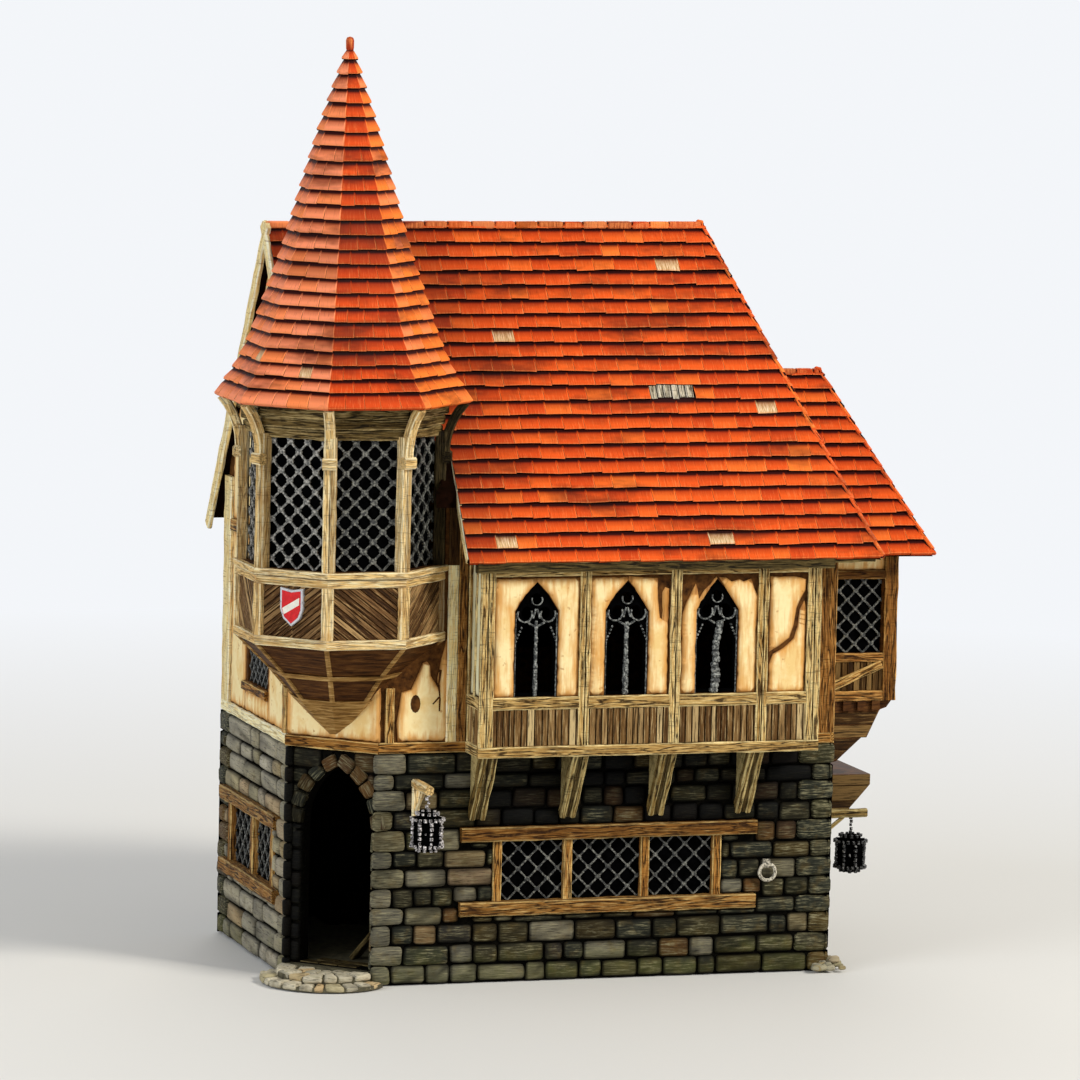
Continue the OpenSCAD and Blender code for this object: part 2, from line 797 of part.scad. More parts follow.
// Turret

corbel_band_z = [turret_z - 9.1, turret_z - 16.7];
module corbel_solid(d) {
    octo_solid([[turret_r - 0.6 + d, turret_z], [turret_r - 10.2 + d, corbel_band_z[0]],
        [turret_r - 16.8 + d, corbel_band_z[1]], [0.6 + d, stone_h + sole_h]]);
}

rib_out = 0.7;
rib_w = 1.3;
module corbel_rib_space() {
    at_corners([0:7]) translate([0, -rib_w / 2, 0]) cube([far, rib_w, far]);
    for (z = corbel_band_z) translate([-far / 2, -far / 2, z - rib_w / 2]) cube([far, far, rib_w]);
    translate([-far / 2, -far / 2, 0]) cube([far, far, corbel_band_z[1]]);
}

module turret_corbel() {
    color("SaddleBrown") place() difference() {
        outside_house() corbel_solid(0);
        corbel_rib_space();
    }
}

module corbel_ribs() {
    color("Tan") place() intersection() {
        outside_house() corbel_solid(rib_out);
        corbel_rib_space();
    }
}

panel_z = [turret_z + 2.6, turret_sill_z - 4.2];
panel_in = 1.2;
module turret_apron() {
    face_r = turret_r - panel_in;
    color("SaddleBrown") place() outside_house() {
        octo_ring(face_r, face_r - infill_t, turret_z + deck_t, turret_sill_z);
        at_turret() translate([0, 0, turret_z]) linear_extrude(deck_t) octagon(face_r);
    }
}

stile_w = 3;
module turret_mouldings() {
    inner = turret_r - panel_in;
    rail_z = panel_z[1] + 2.4;
    color("Tan") place() outside_house() {
        octo_ring(turret_r + 0.4, inner, turret_z, panel_z[0]);
        octo_ring(turret_r + 0.1, inner, panel_z[1], rail_z);
        octo_ring(turret_r + 0.9, inner, rail_z, turret_sill_z);
        intersection() {
            at_corners([0:7]) translate([0, -stile_w / 2, 0]) cube([far, stile_w, far]);
            octo_ring(turret_r, inner, panel_z[0], panel_z[1]);
        }
    }
}

// A knee brace springs from a block on the post and curves out to the eave.
pane_in = 3.6;
braced = [3:7];
brace_z = turret_eave_z - 13.4;
brace_out = 5.2;
brace_w = 2.6;
block = [3, 3.4, 2.8];
module knee_brace() {
    rise = turret_eave_z - brace_z;
    r = (brace_out * brace_out + rise * rise) / (2 * brace_out);
    end = asin(rise / r);
    outer = [for (i = [0:6]) let (a = i * end / 6) [turret_r + 0.6 + r - r * cos(a), brace_z + r * sin(a)]];
    inner = [for (i = [6:-1:0]) [max(outer[i][0] - 2.4, turret_r - 2), outer[i][1]]];
    along_y(-brace_w / 2, brace_w / 2) polygon(concat(outer, inner));
    translate([turret_r - 2, -block[1] / 2, brace_z - block[2]]) cube(block);
}

module turret_posts() {
    w = block[1];
    color("Peru") place() outside_house() {
        intersection() {
            octo_ring(turret_r, turret_r - pane_in, turret_sill_z, turret_head_z);
            at_corners([0:7]) translate([0, -w / 2, 0]) cube([far, w, far]);
        }
        at_corners(braced) knee_brace();
    }
}

module turret_panes() {
    color("DimGray") place() outside_house()
        octo_ring(turret_r - pane_in, turret_r - pane_in - 1.2, turret_sill_z, turret_head_z);
}

plate_h = 4;
module turret_head() {
    inner = turret_r - 4.8;
    color("Peru") place() difference() {
        outside_house() {
            octo_ring(turret_r - 0.8, inner, turret_head_z, turret_eave_z - plate_h);
            octo_ring(turret_r + 0.6, inner, turret_eave_z - plate_h, turret_eave_z);
        }
        at_corners(braced) knee_brace();
    }
}

// Corner radii and heights of the spire from its eave's edge up, flared at the foot.
spire_line = [[spire_r, 1.4], [spire_r - 5.4, 9], [spire_r - 9.6, 18.4], [spire_r - 13.2, 29],
    [18, spire_h * 0.42], [13.6, spire_h * 0.58], [8.4, spire_h * 0.76], [1.2, spire_h - 2.4]];

// Distance up the slope from the eave to the line's point i.
function spire_run(i) = i == 0 ? 0 : spire_run(i - 1) + norm(spire_line[i] - spire_line[i - 1]);
spire_runs = [for (i = [0:len(spire_line) - 1]) spire_run(i)];

// The line's point at that distance, and the way out of the slope there.
function spire_at(d) = [for (k = [0, 1]) lookup(d, [for (i = [0:len(spire_line) - 1])
    [spire_runs[i], spire_line[i][k]]])];
function spire_out(d) = let (v = spire_at(d + eps / 2) - spire_at(d - eps / 2)) [v[1], -v[0]] / norm(v);

knob_h = 3.4;
spire_courses = 25;
spire_step = tile_step * 0.8;
spire_course = spire_runs[len(spire_line) - 1] / spire_courses;
spire_profile = concat([[spire_r, 0]], [for (i = [0:spire_courses - 1], k = [0, 1])
    let (d = spire_course * (i + k)) spire_at(d) - spire_out(d) * spire_step * k]);
module turret_spire() {
    color("OrangeRed") place() difference() {
        union() {
            translate([0, 0, turret_eave_z]) octo_solid(spire_profile);
            at_turret() translate([0, 0, turret_eave_z + spire_h - knob_h])
                cylinder(h = knob_h, r = 1.1, $fn = 24);
        }
        intersection() {
            under_roof(0);
            blk(-verge_out, far, -far / 2, far, 0, far);
        }
    }
}

// Plain shield on the panel over the door.
module shield() {
    face = turret_r * flat;
    color("Red") place() at_turret() rotate([0, 0, -45]) translate([0, 0, turret_z + 5.8])
        along_y(-face - 0.6, -face + 1.2 * flat) polygon([[-3.5, 10.4], [0, 9.8], [3.5, 10.4],
            [3.5, 4.6], [2.5, 2], [0, 0], [-2.5, 2], [-3.5, 4.6]]);
}

// Oriel

// Where the oriel's windows begin and end, on its end and along its sides.
oriel_light = [[oriel_y0 + 6, ridge_y - 2], [ridge_y + 2, oriel_y1 - 6]];
oriel_side = [wall_x1 + 5.5, oriel_x1 - 4.5];
module oriel_walls() {
    color("Wheat") place() difference() {
        blk(wall_x1, oriel_x1 - proud, oriel_y0 + proud, oriel_y1 - proud, oriel_z0, oriel_z1);
        blk(wall_x1 - eps, oriel_x1 - proud - infill_t, oriel_y0 + proud + infill_t,
            oriel_y1 - proud - infill_t, oriel_z0 + deck_t, far);
        blk(oriel_side[0], oriel_side[1], oriel_y0, oriel_y1, oriel_sill_z, oriel_head_z);
        for (y = oriel_light)
            blk(oriel_x1 - proud - infill_t - eps, far, y[0], y[1], oriel_sill_z, oriel_head_z);
    }
}

module oriel_side_frame() {
    x0 = wall_x1;
    x1 = oriel_x1 - post_w;
    blk(x1, oriel_x1, 0, proud, oriel_z0, oriel_z1);
    blk(x0, x0 + 3, 0, proud, oriel_z0 + 3, oriel_z1);
    blk(x0, x1, 0, proud, oriel_z0, oriel_z0 + 3);
    blk(x0, x1, 0, proud, oriel_sill_z - 2.5, oriel_sill_z);
    blk(x0, x1, 0, proud, oriel_head_z, oriel_head_z + 2.5);
    along_y(0, proud) polygon([[x0 + 3, oriel_z0 + 3], [x0 + 6, oriel_z0 + 3],
        [x1, oriel_sill_z - 4.6], [x1, oriel_sill_z - 2.5]]);
}

module oriel_frame() {
    color("Peru") place() {
        translate([0, oriel_y0, 0]) oriel_side_frame();
        translate([0, oriel_y1 - proud, 0]) oriel_side_frame();
        for (y = [oriel_y0 + proud, oriel_y1 - proud - 3])
            blk(oriel_x1 - proud, oriel_x1, y, y + 3, oriel_z0, oriel_z1);
        blk(oriel_x1 - proud, oriel_x1, ridge_y - 2, ridge_y + 2, oriel_z0, oriel_z1);
        for (z = [oriel_z0, oriel_sill_z - 2.5, oriel_head_z])
            blk(oriel_x1 - proud, oriel_x1, oriel_y0 + proud, oriel_y1 - proud, z, z + 2.5);
    }
}

// Joist ends and stepped boards under the oriel.
module oriel_corbel() {
    joists = 10;
    gap = (oriel_w - 4) / joists;
    top = oriel_z0;
    color("SaddleBrown") place() {
        along_y(oriel_y0 + 1.2, oriel_y1 - 1.2) polygon([[wall_x1 + proud, top], [oriel_x1 - 4, top],
            [oriel_x1 - 4.4, top - 3], [oriel_x1 - 8, top - 10.6], [oriel_x1 - 9.6, top - 10.6],
            [oriel_x1 - 17, top - 17.2], [body_l, top - 18.4],
            [body_l, stone_h], [wall_x1 + proud, stone_h]]);
        for (i = [0:joists - 1]) {
            y = oriel_y0 + 2 + i * gap;
            along_y(y, y + gap * 0.55) polygon([[oriel_x1 - 4, top], [oriel_x1 - 0.4, top],
                [oriel_x1 - 2, top - 2.2], [oriel_x1 - 4.4, top - 3]]);
        }
        for (i = [0:4], y = [oriel_y0 + 0.2, oriel_y1 - 1.2]) {
            x = oriel_x1 - 7 - 4.3 * i;
            blk(x, x + 2.4, y, y + 1, top - 2.8, top);
        }
    }
}

oriel_eave_y = oriel_y0 - 8.5;
oriel_eave_x = oriel_x1 + 7.8;
oriel_hip_x = oriel_eave_x - 22.9;
oriel_ridge_z = eave_z + oriel_rise;
module oriel_roof() {
    color("OrangeRed") place() difference() {
        intersection() {
            along_x(0, oriel_eave_x) tiled_pitch([oriel_eave_y, oriel_z1], [ridge_y, oriel_ridge_z],
                [2 * ridge_y - oriel_eave_y, oriel_z1]);
            along_y(-far / 4, far) tiled_hip([oriel_eave_x, oriel_z1], [oriel_hip_x, oriel_ridge_z]);
            blk(0, far, -far / 4, far, oriel_z1, far);
        }
        intersection() {
            under_roof(0);
            blk(0, far, -far / 4, far, eave_z, far);
        }
        blk(0, wall_x1 + proud, -far / 4, far, 0, eave_z + eps / 100);
    }
}

// Main roof

// Keeps the part of the roof over the eaves, short of the gable boards and clear of the bay's left end.
module roof_field(y0, y1) {
    intersection() {
        children();
        difference() {
            blk(board_t - verge_out, far, y0, y1, eave_z, far);
            blk(-far, bay_verge_x, -far, flush_eave_y, 0, far);
        }
    }
}

module pitched_slab() {
    difference() {
        intersection() {
            along_x(-far, far)
                tiled_pitch([front_eave_y, eave_z], [ridge_y, ridge_z], [back_eave_y, eave_z]);
            hip_space(roof_t);
        }
        pitch_space(roof_t);
        turret_void(0, turret_eave_z);
    }
}

module roof_front_slope() {
    color("OrangeRed") place() roof_field(-far / 4, ridge_y) pitched_slab();
}

module roof_back_slope() {
    color("OrangeRed") place() roof_field(ridge_y, far) pitched_slab();
}

module roof_hip() {
    color("OrangeRed") place() difference() {
        intersection() {
            pitch_space(0);
            along_y(-far, far) tiled_hip([right_eave_x, eave_z], [right_eave_x - hip_run, ridge_z]);
            blk(0, far, -far / 4, far, eave_z, far);
        }
        hip_space(roof_t);
    }
}

// Boards up the edge of the tiles at the gable.
board_t = 1.5;
board_h = 5.5;
module barge_boards() {
    color("Tan") place() difference() {
        intersection() {
            under_roof(0);
            blk(-verge_out, board_t - verge_out, flush_eave_y, far, eave_z - 2, far);
        }
        pitch_space(board_h);
        turret_void(0, turret_eave_z);
    }
}

module eave_beam() {
    color("Peru") place()
        blk(bay_start - 2, right_eave_x - 2, front_eave_y + 0.6, -jetty, eave_z - 3, eave_z);
}

ground_floor();
door_step();
stone_wall_front();
stone_wall_left();
stone_wall_back();
stone_wall_right();
door_wall();
stair_flight();
stone_window_timbers();
stone_window_panes();
door_lantern();
door_lantern_bracket();
side_lantern();
side_lantern_bracket();
tether_ring();
side_hood();
upper_floor();
sole_beams();
left_upper_wall();
corner_upper_wall();
bay_front_wall();
bay_side_walls();
bay_front_frame();
bay_side_frames();
bay_tracery();
jetty_brackets();
back_upper_wall();
right_upper_wall();
flush_frames();
upper_window_panes();
turret_corbel();
corbel_ribs();
turret_apron();
turret_mouldings();
turret_posts();
turret_panes();
turret_head();
turret_spire();
shield();
oriel_walls();
oriel_frame();
oriel_corbel();
oriel_roof();
roof_front_slope();
roof_back_slope();
roof_hip();
barge_boards();
eave_beam();
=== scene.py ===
"""Painted miniature of a half-timbered corner house.

Lengths inside the functions are millimetres in the house's own plan: X runs right from the left
wall, Y runs back from the front wall and Z is up. pt() turns them into metres of the row frame.
"""
import math
import random

import bmesh
import bpy
from mathutils import Matrix, Vector, noise


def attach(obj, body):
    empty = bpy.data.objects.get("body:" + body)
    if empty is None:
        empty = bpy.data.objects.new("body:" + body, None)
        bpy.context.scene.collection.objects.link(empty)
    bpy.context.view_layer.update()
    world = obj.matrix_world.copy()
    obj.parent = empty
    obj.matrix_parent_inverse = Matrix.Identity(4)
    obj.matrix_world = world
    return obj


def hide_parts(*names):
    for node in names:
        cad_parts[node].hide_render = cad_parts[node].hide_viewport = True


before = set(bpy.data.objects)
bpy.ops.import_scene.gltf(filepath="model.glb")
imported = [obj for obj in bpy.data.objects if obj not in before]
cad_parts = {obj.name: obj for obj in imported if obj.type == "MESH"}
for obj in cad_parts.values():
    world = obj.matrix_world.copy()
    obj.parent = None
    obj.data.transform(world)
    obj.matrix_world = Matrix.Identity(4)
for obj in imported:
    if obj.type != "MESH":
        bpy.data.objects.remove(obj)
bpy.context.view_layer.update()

# Main sizes, as in the part's source
BODY_L = 153.0
BODY_D = 91.0
STONE_H = 64.0
CUT = 20.0
# Doorway in the cut corner
DOOR_W = 21.8
DOOR_RECESS = 2.5
DOOR_SHIFT = 1.1
DOOR_SPRING = 42.5
DOOR_RISE = 17.0
FLOOR_T = 4.0
# Windows of the stone storey
WIN_SILL = 22.4
WIN_HEAD = 39.2
BEAM_H = 3.9
# Upper storey: how far its walls stand back, its timbers out, and its bay
INSET = 1.5
PROUD = 1.2
JETTY = 12.0
BAY0 = 45.5
BAY1 = 143.5
BAY_L = BAY1 - BAY0
BAY_SILL = 80.5
BAY_RAIL = BAY_SILL - 3.4
# Main roof: heights, and edges in the plan
EAVE = 118.0
RISE = 88.5
RIDGE_Y = BODY_D / 2
RIDGE = EAVE + RISE
FRONT_EAVE = -15.5
BACK_EAVE = 103.5
RIGHT_EAVE = 160.5
HIP_RUN = 34.7
FRONT_S = RISE / (RIDGE_Y - FRONT_EAVE)
BACK_S = RISE / (BACK_EAVE - RIDGE_Y)
HIP_S = RISE / HIP_RUN
VERGE = -2.0
BAY_VERGE = 40.9
FLUSH_EAVE = -2.5
WX = BODY_L - INSET
WY = BODY_D - INSET
# Turret: its centre in X and Y, its corner radius and its heights
TC = 12.5
TR = 28.7
TZ = 94.7
T_SILL = 115.6
T_HEAD = 151.1
T_EAVE = 159.9
# Spire: radius and height, and its profile as (radius, height)
SPIRE_R = 35.6
SPIRE_H = 98.4
SPIRE = [(SPIRE_R, 1.4), (SPIRE_R - 5.4, 9), (SPIRE_R - 9.6, 18.4), (SPIRE_R - 13.2, 29),
         (18, SPIRE_H * 0.42), (13.6, SPIRE_H * 0.58), (8.4, SPIRE_H * 0.76),
         (1.2, SPIRE_H - 2.4)]
# Oriel: its box, its windows and its roof
OX1 = WX + 26.0
OY0 = RIDGE_Y - 27.5
OY1 = RIDGE_Y + 27.5
OZ0 = 73.0
OZ1 = 115.7
O_SILL = OZ0 + 13.5
O_HEAD = OZ1 - 8.2
O_EAVE_X = OX1 + 7.8
O_EAVE_Y = OY0 - 8.5
O_HIP_X = O_EAVE_X - 22.9
O_RIDGE = EAVE + 46.8

# Millimetres to metres, the turret's angles, and the lowest place of any point
MM = 0.001
R2 = math.sqrt(0.5)
TURN = math.radians(22.5)
FLAT = math.cos(TURN)
SIDE = math.sin(TURN)
GROUND = 0.05


def pt(x, y, z):
    """A point of the house's plan, in metres of the row frame."""
    return Vector(((x - BODY_L / 2) * MM, (y - BODY_D / 2) * MM, z * MM))


def place_piece(name, data, slot=None, nodes=()):
    """Puts mesh, light or camera data into the scene, and says what a piece rides on."""
    obj = bpy.data.objects.new(name, data)
    bpy.context.scene.collection.objects.link(obj)
    if slot:
        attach(obj, "root")
    if nodes:
        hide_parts(*nodes)
    return obj


class Shape:
    """Collects the closed solids of one piece.

    Each vertex carries grain, a place in millimetres along and across its own stone or board, and
    each face corner carries tint: a random number, the relief, a special mark and a second random.
    """

    def __init__(self, seed):
        self.rng = random.Random(seed)
        self.points = []
        self.grain = []
        self.faces = []
        self.tints = []

    def draw(self, count, top=1.0):
        """Random numbers from nothing to top."""
        return tuple(self.rng.uniform(0, top) for _ in range(count))

    def add(self, points, grain, faces, tints):
        """Adds one solid. A tint is for a whole face, or a list for its corners."""
        base = len(self.points)
        self.points += [(x, y, max(z, GROUND)) for x, y, z in points]
        self.grain += grain
        for face, tint in zip(faces, tints):
            self.faces.append([i + base for i in face])
            self.tints += tint if isinstance(tint, list) else [tint] * len(face)

    def build(self, name, material, slot, *nodes, smooth=False):
        """Makes the piece, which stands for the named CAD nodes."""
        mesh = bpy.data.meshes.new(name)
        mesh.from_pydata([pt(*p) for p in self.points], [], self.faces)
        grain = mesh.attributes.new("grain", "FLOAT_VECTOR", "POINT")
        grain.data.foreach_set("vector", [c for g in self.grain for c in g])
        tint = mesh.attributes.new("tint", "FLOAT_COLOR", "CORNER")
        tint.data.foreach_set("color", [c for t in self.tints for c in t])
        mesh.materials.append(material)
        outward(mesh)
        if smooth:
            mesh.shade_smooth()
        place_piece(name, mesh, slot, nodes)


def outward(mesh):
    """Turns every closed solid's faces outward, and keeps the order of the corners' data."""
    bm = bmesh.new()
    bm.from_mesh(mesh)
    bmesh.ops.recalc_face_normals(bm, faces=bm.faces)
    bm.to_mesh(mesh)
    bm.free()


class Face:
    """A wall's face: u runs along it, w stands out of it and z is up."""

    def __init__(self, x, y, along, out):
        self.x, self.y = x, y
        self.ax, self.ay = along
        self.ox, self.oy = out

    def at(self, u, w, z):
        return (self.x + self.ax * u + self.ox * w, self.y + self.ay * u + self.oy * w, z)

    def ground(self, points):
        """Places in the plan of points (u, w)."""
        return [self.at(u, w, 0)[:2] for u, w in points]


def front_at(y, x=0.0):
    """Face that looks forward, at that Y."""
    return Face(x, y, (1, 0), (0, -1))


def back_at(y, x=0.0):
    """Face that looks back, at that Y."""
    return Face(x, y, (1, 0), (0, 1))


def left_at(x, y=0.0):
    """Face that looks left, at that X."""
    return Face(x, y, (0, 1), (-1, 0))


def right_at(x, y=0.0):
    """Face that looks right, at that X."""
    return Face(x, y, (0, 1), (1, 0))


FRONT = front_at(0)
LEFT = left_at(0)
BACK = back_at(BODY_D)
RIGHT = right_at(BODY_L)
DOOR = Face(CUT / 2, CUT / 2, (R2, -R2), (-R2, -R2))
BAY = front_at(-JETTY, BAY0)
BAY_ENDS = (left_at(BAY0), right_at(BAY1))
ORIEL_SIDES = (front_at(OY0), back_at(OY1))
ORIEL_END = right_at(OX1)
ORIEL_LIGHTS = ((OY0 + 4.2, RIDGE_Y - 2), (RIDGE_Y + 2, OY1 - 4.2))


def facet(k, radius):
    """Turret's facet whose normal points at 45 k degrees, at that corner radius."""
    a = math.radians(45 * k)
    n = (math.cos(a), math.sin(a))
    return Face(TC + radius * FLAT * n[0], TC + radius * FLAT * n[1], (-n[1], n[0]), n)


def corner(k, radius):
    """Upright frame at one of the turret's corners."""
    a = TURN + math.radians(45 * (k - 1))
    n = (math.cos(a), math.sin(a))
    return Face(TC + radius * n[0], TC + radius * n[1], (-n[1], n[0]), n)


def pairs(line):
    """The edges of a closed outline."""
    return zip(line, line[1:] + line[:1])


def oval(cu, cv, ru, rv, count):
    """Points round an oval."""
    turns = [2 * math.pi * k / count for k in range(count)]
    return [(cu + ru * math.cos(t), cv + rv * math.sin(t)) for t in turns]


def rect(u0, u1, z0, z1):
    """Corners of a rectangle."""
    return [(u0, z0), (u1, z0), (u1, z1), (u0, z1)]


def xyz(p, q, r):
    """Place function of a stone that is given in the house's own plan."""
    return (p, q, r)


def beam(shape, a, b, side, up, width, depth, wear=0.12, chamfer=0.28, mark=0.0):
    """Hand-cut timber from a to b: side and up are unit vectors across it."""
    rng = shape.rng
    a, b, side, up = Vector(a), Vector(b), Vector(side), Vector(up)
    length = (b - a).length
    steps = max(1, min(24, round(length / 3.5)))
    c = min(chamfer, width * 0.3, depth * 0.3)
    hw, hd = width / 2, depth / 2
    ring = [(-hw + c, -hd), (hw - c, -hd), (hw, -hd + c), (hw, hd - c),
            (hw - c, hd), (-hw + c, hd), (-hw, hd - c), (-hw, -hd + c)]
    tone, twin = rng.random(), rng.random()
    shift = shape.draw(3, 90)
    points, grain = [], []
    for i in range(steps + 1):
        f = i / steps
        centre = a.lerp(b, f)
        rough = wear * (0.35 if i in (0, steps) else 1)
        for s, t in ring:
            ds, dt = rng.uniform(-rough, rough), rng.uniform(-rough, rough)
            points.append(tuple(centre + side * (s + ds) + up * (t + dt)))
            grain.append((f * length + shift[0], s + shift[1], t + shift[2]))
    faces = [list(range(7, -1, -1)), [steps * 8 + k for k in range(8)]]
    tints = [(tone, 0.2, mark, twin)] * 2
    for i in range(steps):
        for k in range(8):
            n = (k + 1) % 8
            faces.append([i * 8 + k, i * 8 + n, i * 8 + 8 + n, i * 8 + 8 + k])
            tints.append((tone, 1.0 if k % 2 else 0.0, mark, twin))
    shape.add(points, grain, faces, tints)


def box(shape, face, u0, u1, w0, w1, z0, z1, **opts):
    """Timber that fills a box on a wall's face, with its grain along the longest side."""
    long, deep, high = u1 - u0, w1 - w0, z1 - z0
    u, w, z = (u0 + u1) / 2, (w0 + w1) / 2, (z0 + z1) / 2
    along, out, up = (face.ax, face.ay, 0), (face.ox, face.oy, 0), (0, 0, 1)
    if long >= max(deep, high):
        beam(shape, face.at(u0, w, z), face.at(u1, w, z), up, out, high, deep, **opts)
    elif high >= deep:
        beam(shape, face.at(u, w, z0), face.at(u, w, z1), along, out, long, deep, **opts)
    else:
        beam(shape, face.at(u, w0, z), face.at(u, w1, z), along, up, long, high, **opts)


def brace(shape, face, p, q, width, w0, w1, **opts):
    """Slanted timber on a wall's face from p to q, both (u, z)."""
    du, dz = q[0] - p[0], q[1] - p[1]
    n = math.hypot(du, dz)
    side = (-dz / n * face.ax, -dz / n * face.ay, du / n)
    w = (w0 + w1) / 2
    beam(shape, face.at(p[0], w, p[1]), face.at(q[0], w, q[1]), side, (face.ox, face.oy, 0),
         width, w1 - w0, **opts)


def clip(poly, keep):
    """The part of a polygon where keep(p) is not below zero."""
    out = []
    for p, q in pairs(poly):
        a, b = keep(p), keep(q)
        if a >= 0:
            out.append(p)
        if (a >= 0) != (b >= 0):
            f = a / (a - b)
            out.append((p[0] + f * (q[0] - p[0]), p[1] + f * (q[1] - p[1])))
    return out


# Smallest area of a clipped polygon that is still made
SLIVER = 0.1


def clip_box(poly, u0, u1, z0, z1):
    """The part of a polygon inside a rectangle, or nothing where that is only a sliver."""
    for keep in (lambda p: p[0] - u0, lambda p: u1 - p[0],
                 lambda p: p[1] - z0, lambda p: z1 - p[1]):
        if len(poly) > 2:
            poly = clip(poly, keep)
    return poly if len(poly) > 2 and abs(turning(poly)) > SLIVER else None


def turning(poly):
    """A polygon's area, below zero where it runs clockwise."""
    return 0.5 * sum(p[0] * q[1] - q[0] * p[1] for p, q in pairs(poly))


def slab(shape, face, poly, w0, w1, angle=90.0, mark=0.0, relief=0.3, bevel=0.0):
    """Polygon on a wall's face drawn out from w0 to w1, its grain at angle to the horizontal."""
    n = len(poly)
    cu, cz = sum(p[0] for p in poly) / n, sum(p[1] for p in poly) / n
    ca, sa = math.cos(math.radians(angle)), math.sin(math.radians(angle))
    shift = shape.draw(2, 90)
    tone, twin = shape.rng.random(), shape.rng.random()
    rings = [(w0, 0.0), (w1 - bevel, 0.0), (w1, bevel)] if bevel else [(w0, 0.0), (w1, 0.0)]
    points, grain = [], []
    for w, inward in rings:
        for u, z in poly:
            d = math.hypot(u - cu, z - cz) or 1
            u, z = u - (u - cu) / d * inward, z - (z - cz) / d * inward
            points.append(face.at(u, w, z))
            grain.append((u * ca + z * sa + shift[0], -u * sa + z * ca + shift[1], w))
    faces = [list(range(n)), [(len(rings) - 1) * n + i for i in range(n)][::-1]]
    tints = [(tone, 0.0, mark, twin), (tone, relief, mark, twin)]
    for r in range(len(rings) - 1):
        for i in range(n):
            j = (i + 1) % n
            faces.append([r * n + i, r * n + n + i, r * n + n + j, r * n + j])
            tints.append((tone, 1.0 if r == 1 else 0.1, mark, twin))
    shape.add(points, grain, faces, tints)


def block(shape, outline, z0, z1):
    """Upright prism over an outline in the plan."""
    n = len(outline)
    points = [(x, y, z) for z in (z0, z1) for x, y in outline]
    faces = [list(range(n)), list(range(n, 2 * n))[::-1]]
    faces += [[i, i + n, (i + 1) % n + n, (i + 1) % n] for i in range(n)]
    shape.add(points, points[:], faces, [(0.3, 0.1, 0.0, 0.5)] * len(faces))


def slats(shape, face, u0, u1, z0, z1, w0, w1, pitch, angle, gap=0.22, mark=0.0):
    """Fills a rectangle with narrow boards laid at an angle."""
    rng = shape.rng
    a = math.radians(angle)
    ca, sa = math.cos(a), math.sin(a)
    cu, cz = (u0 + u1) / 2, (z0 + z1) / 2
    reach = math.hypot(u1 - u0, z1 - z0)
    s = -reach
    while s < reach:
        step = pitch * rng.uniform(0.75, 1.25)
        poly = [(cu + t * ca - n * sa, cz + t * sa + n * ca)
                for t, n in rect(-reach, reach, s, s + step - gap)]
        poly = clip_box(poly, u0, u1, z0, z1)
        if poly and abs(turning(poly)) > 0.15:
            slab(shape, face, poly, w0, w1 + rng.uniform(-0.18, 0.12), angle, mark=mark,
                 bevel=0.18)
        s += step


# How far in from a stone's edge its face has risen, in millimetres, and to what share
EDGE = [(0.0, 0.0), (0.22, 0.62), (0.85, 0.94)]


def stations(a, b):
    """Places across a stone from a to b, and how much of its height it has there."""
    fit = min(1.0, (b - a) / 2.4)
    rise = [(d * fit, h) for d, h in EDGE]
    far = [(b - d, h) for d, h in reversed(rise)]
    return [(a + d, h) for d, h in rise] + [((a + b) / 2, 1.0)] + far


def pillow(shape, place, u0, u1, v0, v1, depth, mark=0.3, rough=0.2):
    """Rounded stone over a rectangle. place(u, v, w) gives its points in the house's plan."""
    rng = shape.rng
    seed = Vector(shape.draw(3, 200))
    tone, twin = rng.random(), rng.random()
    um, vm = (u0 + u1) / 2, (v0 + v1) / 2
    tilt = (rng.uniform(-0.15, 0.15), rng.uniform(-0.15, 0.15))
    points, grain, relief = [], [], []
    for v, hv in stations(v0, v1):
        for u, hu in stations(u0, u1):
            across, along = (u - um) / (u1 - um), (v - vm) / (v1 - vm)
            h = hu * hv
            bump = noise.noise(Vector((u * 0.45, v * 0.45, 0)) + seed) * rough
            edge = noise.noise(Vector((u * 0.3, v * 0.3, 9)) + seed) * 0.45 * (1 - h)
            w = depth * h * (1 + tilt[0] * across + tilt[1] * along) + bump * h
            points.append(place(u - 0.5 * (1 - hv) * across + edge,
                                v - 0.5 * (1 - hu) * along + edge * 0.6, w))
            grain.append((u + seed[0], v + seed[1], w + seed[2]))
            relief.append(min(1.0, h * (0.9 + bump * 1.5)))
    n = len(stations(u0, u1))
    faces = [[j * n + i, j * n + i + 1, (j + 1) * n + i + 1, (j + 1) * n + i]
             for j in range(n - 1) for i in range(n - 1)]
    tints = [[(tone, relief[q], mark, twin) for q in quad] for quad in faces]
    rim = list(range(n)) + [j * n + n - 1 for j in range(1, n)]
    rim += [(n - 1) * n + i for i in range(n - 2, -1, -1)] + [j * n for j in range(n - 2, 0, -1)]
    shape.add(points, grain, faces + [rim[::-1]], tints + [(tone, 0.0, mark, twin)])


